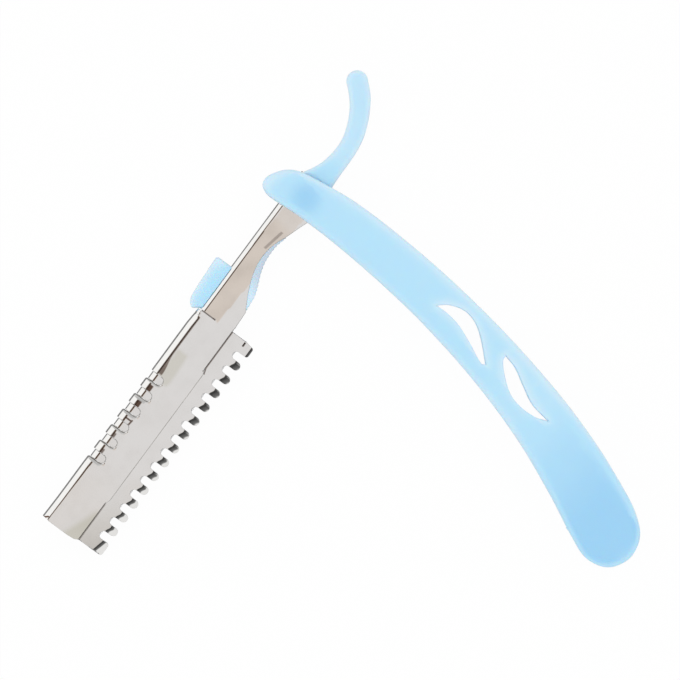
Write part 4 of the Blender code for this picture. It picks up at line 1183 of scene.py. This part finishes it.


# Marks of painted shade and painted reflection on the head's sheet in millimetres: the low and the high
# corner of each box, its soft margin, and how it leans and about which station
HOLDER_MARKS = {
    "window side": ((73.45, -3.9), (74.1, -1.8), 0.2),
    "window foot": ((73.2, -2.2), (75.5, -1.5), 0.25, 0.12, 74.0),
    "toe end": ((106.2, -4.85), (107.5, -4.0), 0.18, 1.1, 106.4),
    "shank": ((10.8, -0.7), (17.2, 0.4), 0.35, 0.2, 14.0),
    "dulled patch": ((50.3, -3.4), (61.6, 1.4), 1.4),
}
# Painted shade on the slide under the holder's slit, as a box like the marks above
SLIT_SHADE = ((39.2, -5.2), (40.1, 1.0), 0.15)


def build_holder_steel(shader, colours):
    """The head's sheet: its polish, painted shade and dark reflections in its crease and beside its windows,
    and painted beige reflections in patches.
    """
    u, v = shader.millimetres()

    def mark(name):
        return box_mask(u, v, *HOLDER_MARKS[name])

    # Painted shade in the crease where the barrel leaves the plate, and painted dark reflections beside the
    # windows, at the toe end and on the shank
    widening = u.clipped(53.0, 59.0)
    low_edge = -3.62 + 0.8 * widening
    heel = u.clipped(41.2, 41.9) * (1 - u.clipped(59.2, 59.8)) * (0.65 + 0.15 * widening)
    crease = heel * v.clipped(-4.15, -3.9) * (1 - v.clipped(low_edge, low_edge + 0.3))
    along = (u - WINDOW_STARTS[0]) % WINDOW_PITCH
    later = u.clipped(74.0, 79.0)
    beside = (along - 0.5 * later).clipped(3.0, 3.5) * v.clipped(-3.85, -3.6)
    beside = beside * (1 - (v + 0.4 * later).clipped(-2.75, -2.4)) * (0.97 - 0.2 * later)
    beside = beside * u.clipped(62.0, 62.2) * (1 - u.clipped(72.0, 72.2) * (1 - u.clipped(76.5, 76.7)))
    beside = beside * (1 - u.clipped(85.2, 86.0))
    corner = mark("window side").maximum(mark("window foot"))
    painted_shade = crease.maximum(beside).maximum(corner * 0.9).maximum(mark("toe end"))
    painted_shade = painted_shade.maximum(mark("shank") * 0.36)
    # Beige patches on the plate and at the tip's corner are painted reflection
    cloud = shader.noise(shader.place(), 180.0, 3.0)
    hollow = box_mask(u - 0.8 * cloud, v + 1.4 * cloud, *HOLDER_MARKS["dulled patch"])
    tip = (v + 0.4 * u).clipped(42.9, 45.2) * u.clipped(96.0, 99.0)
    build_steel(shader, colours, painted_shade, (hollow * 0.8).maximum(tip))


def build_comb_steel(shader, colours):
    """The comb's polish, with painted shade in the corner under the plate's edge and in the tab's groove."""
    u, v = shader.millimetres()
    # Painted shade along the plate's edge at both ends, under its slant and in the tab's groove
    ends = (1 - u.clipped(51.0, 51.6)).maximum(u.clipped(94.8, 95.3))
    corner = ends * (1 - v.clipped(PLATE_END_V + 0.05, PLATE_END_V + 0.35))
    corner = corner * (0.85 - 0.3 * u.clipped(90.0, 91.0))
    slant = v - (u - HEAD_START - LIP_HEEL) * ((PLATE_LIP_V - PLATE_END_V) / LIP_RAMP)
    under = box_mask(u, slant, (50.9, PLATE_END_V - 0.1), (52.9, PLATE_END_V + 0.35), 0.2)
    u0, v0, u1, v1 = TAB_GROOVE
    groove = box_mask(u, v, (u0 - 0.05, v0 - 0.1), (u1 + 0.05, v1 + 0.1), 0.15)
    build_steel(shader, colours, corner.maximum(under * 0.85).maximum(groove))


def build_slide_steel(shader, colours):
    """The slide's polish, with painted shade where the holder's slit lies over it."""
    u, v = shader.millimetres()
    build_steel(shader, colours, box_mask(u, v, *SLIT_SHADE) * 0.63)


def build_blade_steel(shader, colours):
    """Ground steel, finely mottled, with a matt bevel."""
    place = shader.place()
    across = (shader.along(place, HEAD_V) - PIVOT.dot(HEAD_V)) / MM
    bevel = across.clipped(*BEVEL_V)
    lines = shader.noise(place, 1800.0, 5.0, 0.7)
    base = shader.darkened(lines.clipped(0.3, 0.7), colours.blade, 0.8)
    shader.finish({"Base Color": shader.mix(bevel, base, colours.bevel), "Roughness": 0.22 + 0.15 * lines,
                   "Metallic": 1 - 0.9 * bevel, "Normal": shader.relief(0.2, 0.00002, lines)})


def build_nylon(shader, colours):
    """Matt white nylon with a faint mottle."""
    mottle = shader.noise(shader.place(), 800.0, 3.0)
    base = shader.darkened(mottle.clipped(0.3, 0.7), colours.nylon, 0.93)
    shader.finish({"Base Color": base, "Roughness": 0.42 + 0.15 * mottle,
                   "Normal": shader.relief(0.15, 0.00004, mottle)})


# What the polished metal sees
LAMP = (0.745, 0.735, 0.74)
BEIGE = (0.70, 0.63, 0.575)
SAND = (0.66, 0.635, 0.61)
BROWN = (0.10, 0.065, 0.045)
DARK_CLOTH = (0.07, 0.06, 0.05)


def sky_colours(shader):
    """What polished metal sees: pale walls, and dark gaps beside the lamp overhead."""
    way = shader.node("ShaderNodeTexCoord", output="Generated")
    up = shader.node("ShaderNodeSeparateXYZ", None, {0: way}, 2)
    polar = shader.node("ShaderNodeMath", {"operation": "ARCCOSINE"}, {0: up}) / math.pi

    def by_height(*stops):
        """Colours or levels of grey by their angle from the zenith, from the lamp to the white ground."""
        stops = [(0, LAMP), (2, LAMP), *stops, (180, 0.98)]
        stops = [(angle / 180, (seen,) * 3 if isinstance(seen, float) else seen) for angle, seen in stops]
        return shader.node("ShaderNodeValToRGB", {"stops": stops}, {0: polar})

    spine = by_height((4, BEIGE), (5.5, BEIGE), (7.5, BROWN), (23, BROWN), (27.5, 0.98))
    panel = by_height((5, SAND), (8, 0.05), (22, 0.045), (38, 0.10), (58, 0.14), (67, 0.32), (77, 0.82))
    gap = by_height((5, SAND), (8, 0.09), (13, 0.09), (20, 0.27), (48, 0.32), (60, 0.5), (76, 0.82))
    ends = by_height((9, 0.62), (35, 0.48), (75, 0.66))
    u, v = shader.along(way, HEAD_U), shader.along(way, HEAD_V)
    comb = shader.mix((u + 0.05 * v).clipped(-0.02, 0.0), gap, panel)
    both = shader.mix(v.clipped(-0.012, 0.012), spine, comb)
    side = v.maximum(0 - v)
    aside = (u - 0.75 * side).maximum(0 - u - 0.25 * side)
    walls = shader.mix(aside.clipped(0.03, 0.10), both, ends)
    flag = (0 - u).clipped(0.6, 0.75) * (1 - up.clipped(0.2, 0.3))
    return shader.mix(flag * 0.9, walls, DARK_CLOTH)


def build_world(world):
    """A plain white sky, in which polished metal sees its own walls and lamp."""
    shader = Shader(world)
    seen = shader.mix(shader.ray("Glossy"), (1.0, 1.0, 1.0), sky_colours(shader))
    background = shader.node("ShaderNodeBackground", None, {"Color": seen, "Strength": 1.0})
    shader.node("ShaderNodeOutputWorld", None, {"Surface": background})


def build_floor(shader, colours):
    """White table: it takes a faint shadow, is white to the camera, and looks grey in metal."""
    camera, glossy, through = (shader.ray(kind) for kind in ("Camera", "Glossy", "Transmission"))
    white = shader.mix(shader.noise(shader.place(), 40.0), (0.93, 0.93, 0.93), (0.90, 0.90, 0.90))
    base = shader.mix(glossy, white, (0.05, 0.05, 0.05))
    diffuse = shader.node("ShaderNodeBsdfDiffuse", None, {"Color": base, "Roughness": 0.5})
    glow = shader.node("ShaderNodeEmission", None, {"Color": (1.0, 1.0, 1.0, 1.0), "Strength": 1.0})
    seen = (camera * 0.97).maximum(glossy * 0.2).maximum(through * 0.9)
    surface = shader.node("ShaderNodeMixShader", None, {0: seen, 1: diffuse, 2: glow})
    shader.node("ShaderNodeOutputMaterial", None, {"Surface": surface})


FINISHES = {
    "blue_plastic": build_plastic, "plated_steel": build_steel, "holder_steel": build_holder_steel,
    "comb_steel": build_comb_steel, "slide_steel": build_slide_steel, "blade_steel_ground": build_blade_steel,
    "nylon_white": build_nylon, "table_white": build_floor,
}
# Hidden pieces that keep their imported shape, by their finish
PACKED_PIECES = {
    "blue_plastic": ["handle_end_spacer"],
    "plated_steel": ["pivot_pin", "hinge_pin", "blade_stud_heel", "blade_stud_toe"],
    "blade_steel_ground": ["blade"],
    "nylon_white": ["locating_pin_near", "locating_pin_far", "pivot_washer_front", "pivot_washer_rear",
                    "tang_bush"],
}


# Operators

class RAZOR_OT_scales(bpy.types.Operator):
    """Build the two scales of the handle"""
    bl_idname = "razor.scales"
    bl_label = "Handle scales"

    def execute(self, context):
        for name, node, side in (("front_scale", "handle_front_scale", 1),
                                 ("rear_scale", "handle_rear_scale", -1)):
            add_piece(name, scale_mesh(context.scene.razor_sizes, side), "handle",
                      "blue_plastic", node, HANDLE)
        return {"FINISHED"}


class RAZOR_OT_holder(bpy.types.Operator):
    """Build the folded and rolled sheet of the head"""
    bl_idname = "razor.holder"
    bl_label = "Blade holder"

    def execute(self, context):
        add_piece("holder", holder_mesh(context.scene.razor_sizes), "head", "holder_steel",
                  "blade_head")
        return {"FINISHED"}


class RAZOR_OT_comb(bpy.types.Operator):
    """Build the guard comb"""
    bl_idname = "razor.comb"
    bl_label = "Guard comb"

    def execute(self, context):
        add_piece("comb", comb_mesh(context.scene.razor_sizes), "head", "comb_steel",
                  "guard_comb")
        return {"FINISHED"}


class RAZOR_OT_leaf(bpy.types.Operator):
    """Build the hinged rear leaf"""
    bl_idname = "razor.leaf"
    bl_label = "Rear leaf"

    def execute(self, context):
        add_piece("leaf", leaf_mesh(context.scene.razor_sizes), "leaf", "plated_steel",
                  "rear_leaf")
        return {"FINISHED"}


class RAZOR_OT_lock(bpy.types.Operator):
    """Build the lock slide, its thumb pad and its rivets"""
    bl_idname = "razor.lock"
    bl_label = "Lock slide"

    def execute(self, context):
        add_piece("slide_plate", slide_mesh(), "slide", "slide_steel", "lock_slide")
        add_piece("pad", pad_mesh(context.scene.razor_sizes), "slide", "blue_plastic",
                  "thumb_pad")
        for name, node, station in (("rivet_upper", "slide_rivet_upper", SLOT_STATIONS[0]),
                                    ("rivet_lower", "slide_rivet_lower", SLOT_STATIONS[1])):
            where = HEAD @ Matrix.Translation((station * MM, SLOT_V * MM, 0))
            add_piece(name, lathe(RIVET_PROFILE), "slide", "plated_steel", node, where)
        return {"FINISHED"}


class RAZOR_OT_grip(bpy.types.Operator):
    """Build the ridged finger grip and the tail rest"""
    bl_idname = "razor.grip"
    bl_label = "Grip and tail"

    def execute(self, context):
        for name, make, node in (("grip", grip_mesh, "finger_grip"), ("tail", tail_mesh, "tail_rest")):
            add_piece(name, make(context.scene.razor_sizes), "head", "blue_plastic",
                      node)
        return {"FINISHED"}


class RAZOR_OT_small_parts(bpy.types.Operator):
    """Finish the pins, washers, studs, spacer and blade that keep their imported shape"""
    bl_idname = "razor.small_parts"
    bl_label = "Small parts"

    def execute(self, context):
        for finish, names in PACKED_PIECES.items():
            for name in names:
                for slot in frame["nodes"][name].material_slots:
                    slot.material = material(finish)
        return {"FINISHED"}


class RAZOR_OT_stage(bpy.types.Operator):
    """Set the table, the light and the camera"""
    bl_idname = "razor.stage"
    bl_label = "Stage"

    def execute(self, context):
        scene = context.scene
        middle = VIEW_CENTRE[0] * MM, VIEW_CENTRE[1] * MM
        mesh = bpy.data.meshes.new("table")
        corners = [(x * TABLE_HALF, y * TABLE_HALF, 0) for x, y in ((-1, -1), (1, -1), (1, 1), (-1, 1))]
        mesh.from_pydata(corners, [], [(0, 1, 2, 3)])
        mesh.materials.append(material("table_white"))
        table = bpy.data.objects.new("table", mesh)
        table.location = (*middle, CAD_BOX[0][2] - TABLE_GAP)
        scene.collection.objects.link(table)
        world = bpy.data.worlds.new("studio")
        build_world(world)
        scene.world = world
        lens = bpy.data.cameras.new("view")
        lens.sensor_width = SENSOR
        lens.sensor_fit = "HORIZONTAL"
        lens.lens = SENSOR * VIEW_DISTANCE / (VIEW_WIDTH * MM)
        lens.clip_end = VIEW_CLIP
        camera = bpy.data.objects.new("view", lens)
        camera.location = (*middle, PIVOT.z + VIEW_DISTANCE)
        camera.rotation_euler = (0, 0, VIEW_TURN)
        scene.collection.objects.link(camera)
        scene.camera = camera
        scene.view_settings.view_transform = "Standard"
        return {"FINISHED"}


class RAZOR_PT_panel(bpy.types.Panel):
    """Sizes and colours of the razor, and its pieces"""
    bl_idname = "RAZOR_PT_panel"
    bl_label = "Straight razor"
    bl_space_type = "VIEW_3D"
    bl_region_type = "UI"
    bl_category = "Razor"

    def draw(self, context):
        for settings in (context.scene.razor_sizes, context.scene.razor_colours):
            box = self.layout.box()
            for name in settings.__annotations__:
                box.prop(settings, name)
        for operator in OPERATORS:
            self.layout.operator(operator.bl_idname)


OPERATORS = (RAZOR_OT_scales, RAZOR_OT_holder, RAZOR_OT_comb, RAZOR_OT_leaf, RAZOR_OT_lock,
             RAZOR_OT_grip, RAZOR_OT_small_parts, RAZOR_OT_stage)
CLASSES = (RazorSizes, RazorColours, *OPERATORS, RAZOR_PT_panel)


def register():
    for cls in CLASSES:
        bpy.utils.register_class(cls)
    bpy.types.Scene.razor_sizes = PointerProperty(type=RazorSizes)
    bpy.types.Scene.razor_colours = PointerProperty(type=RazorColours)


def unregister():
    del bpy.types.Scene.razor_colours
    del bpy.types.Scene.razor_sizes
    for cls in reversed(CLASSES):
        bpy.utils.unregister_class(cls)


def main():
    register()
    for operator in OPERATORS:
        group, name = operator.bl_idname.split(".")
        getattr(getattr(bpy.ops, group), name)()


if __name__ == "__main__":
    main()
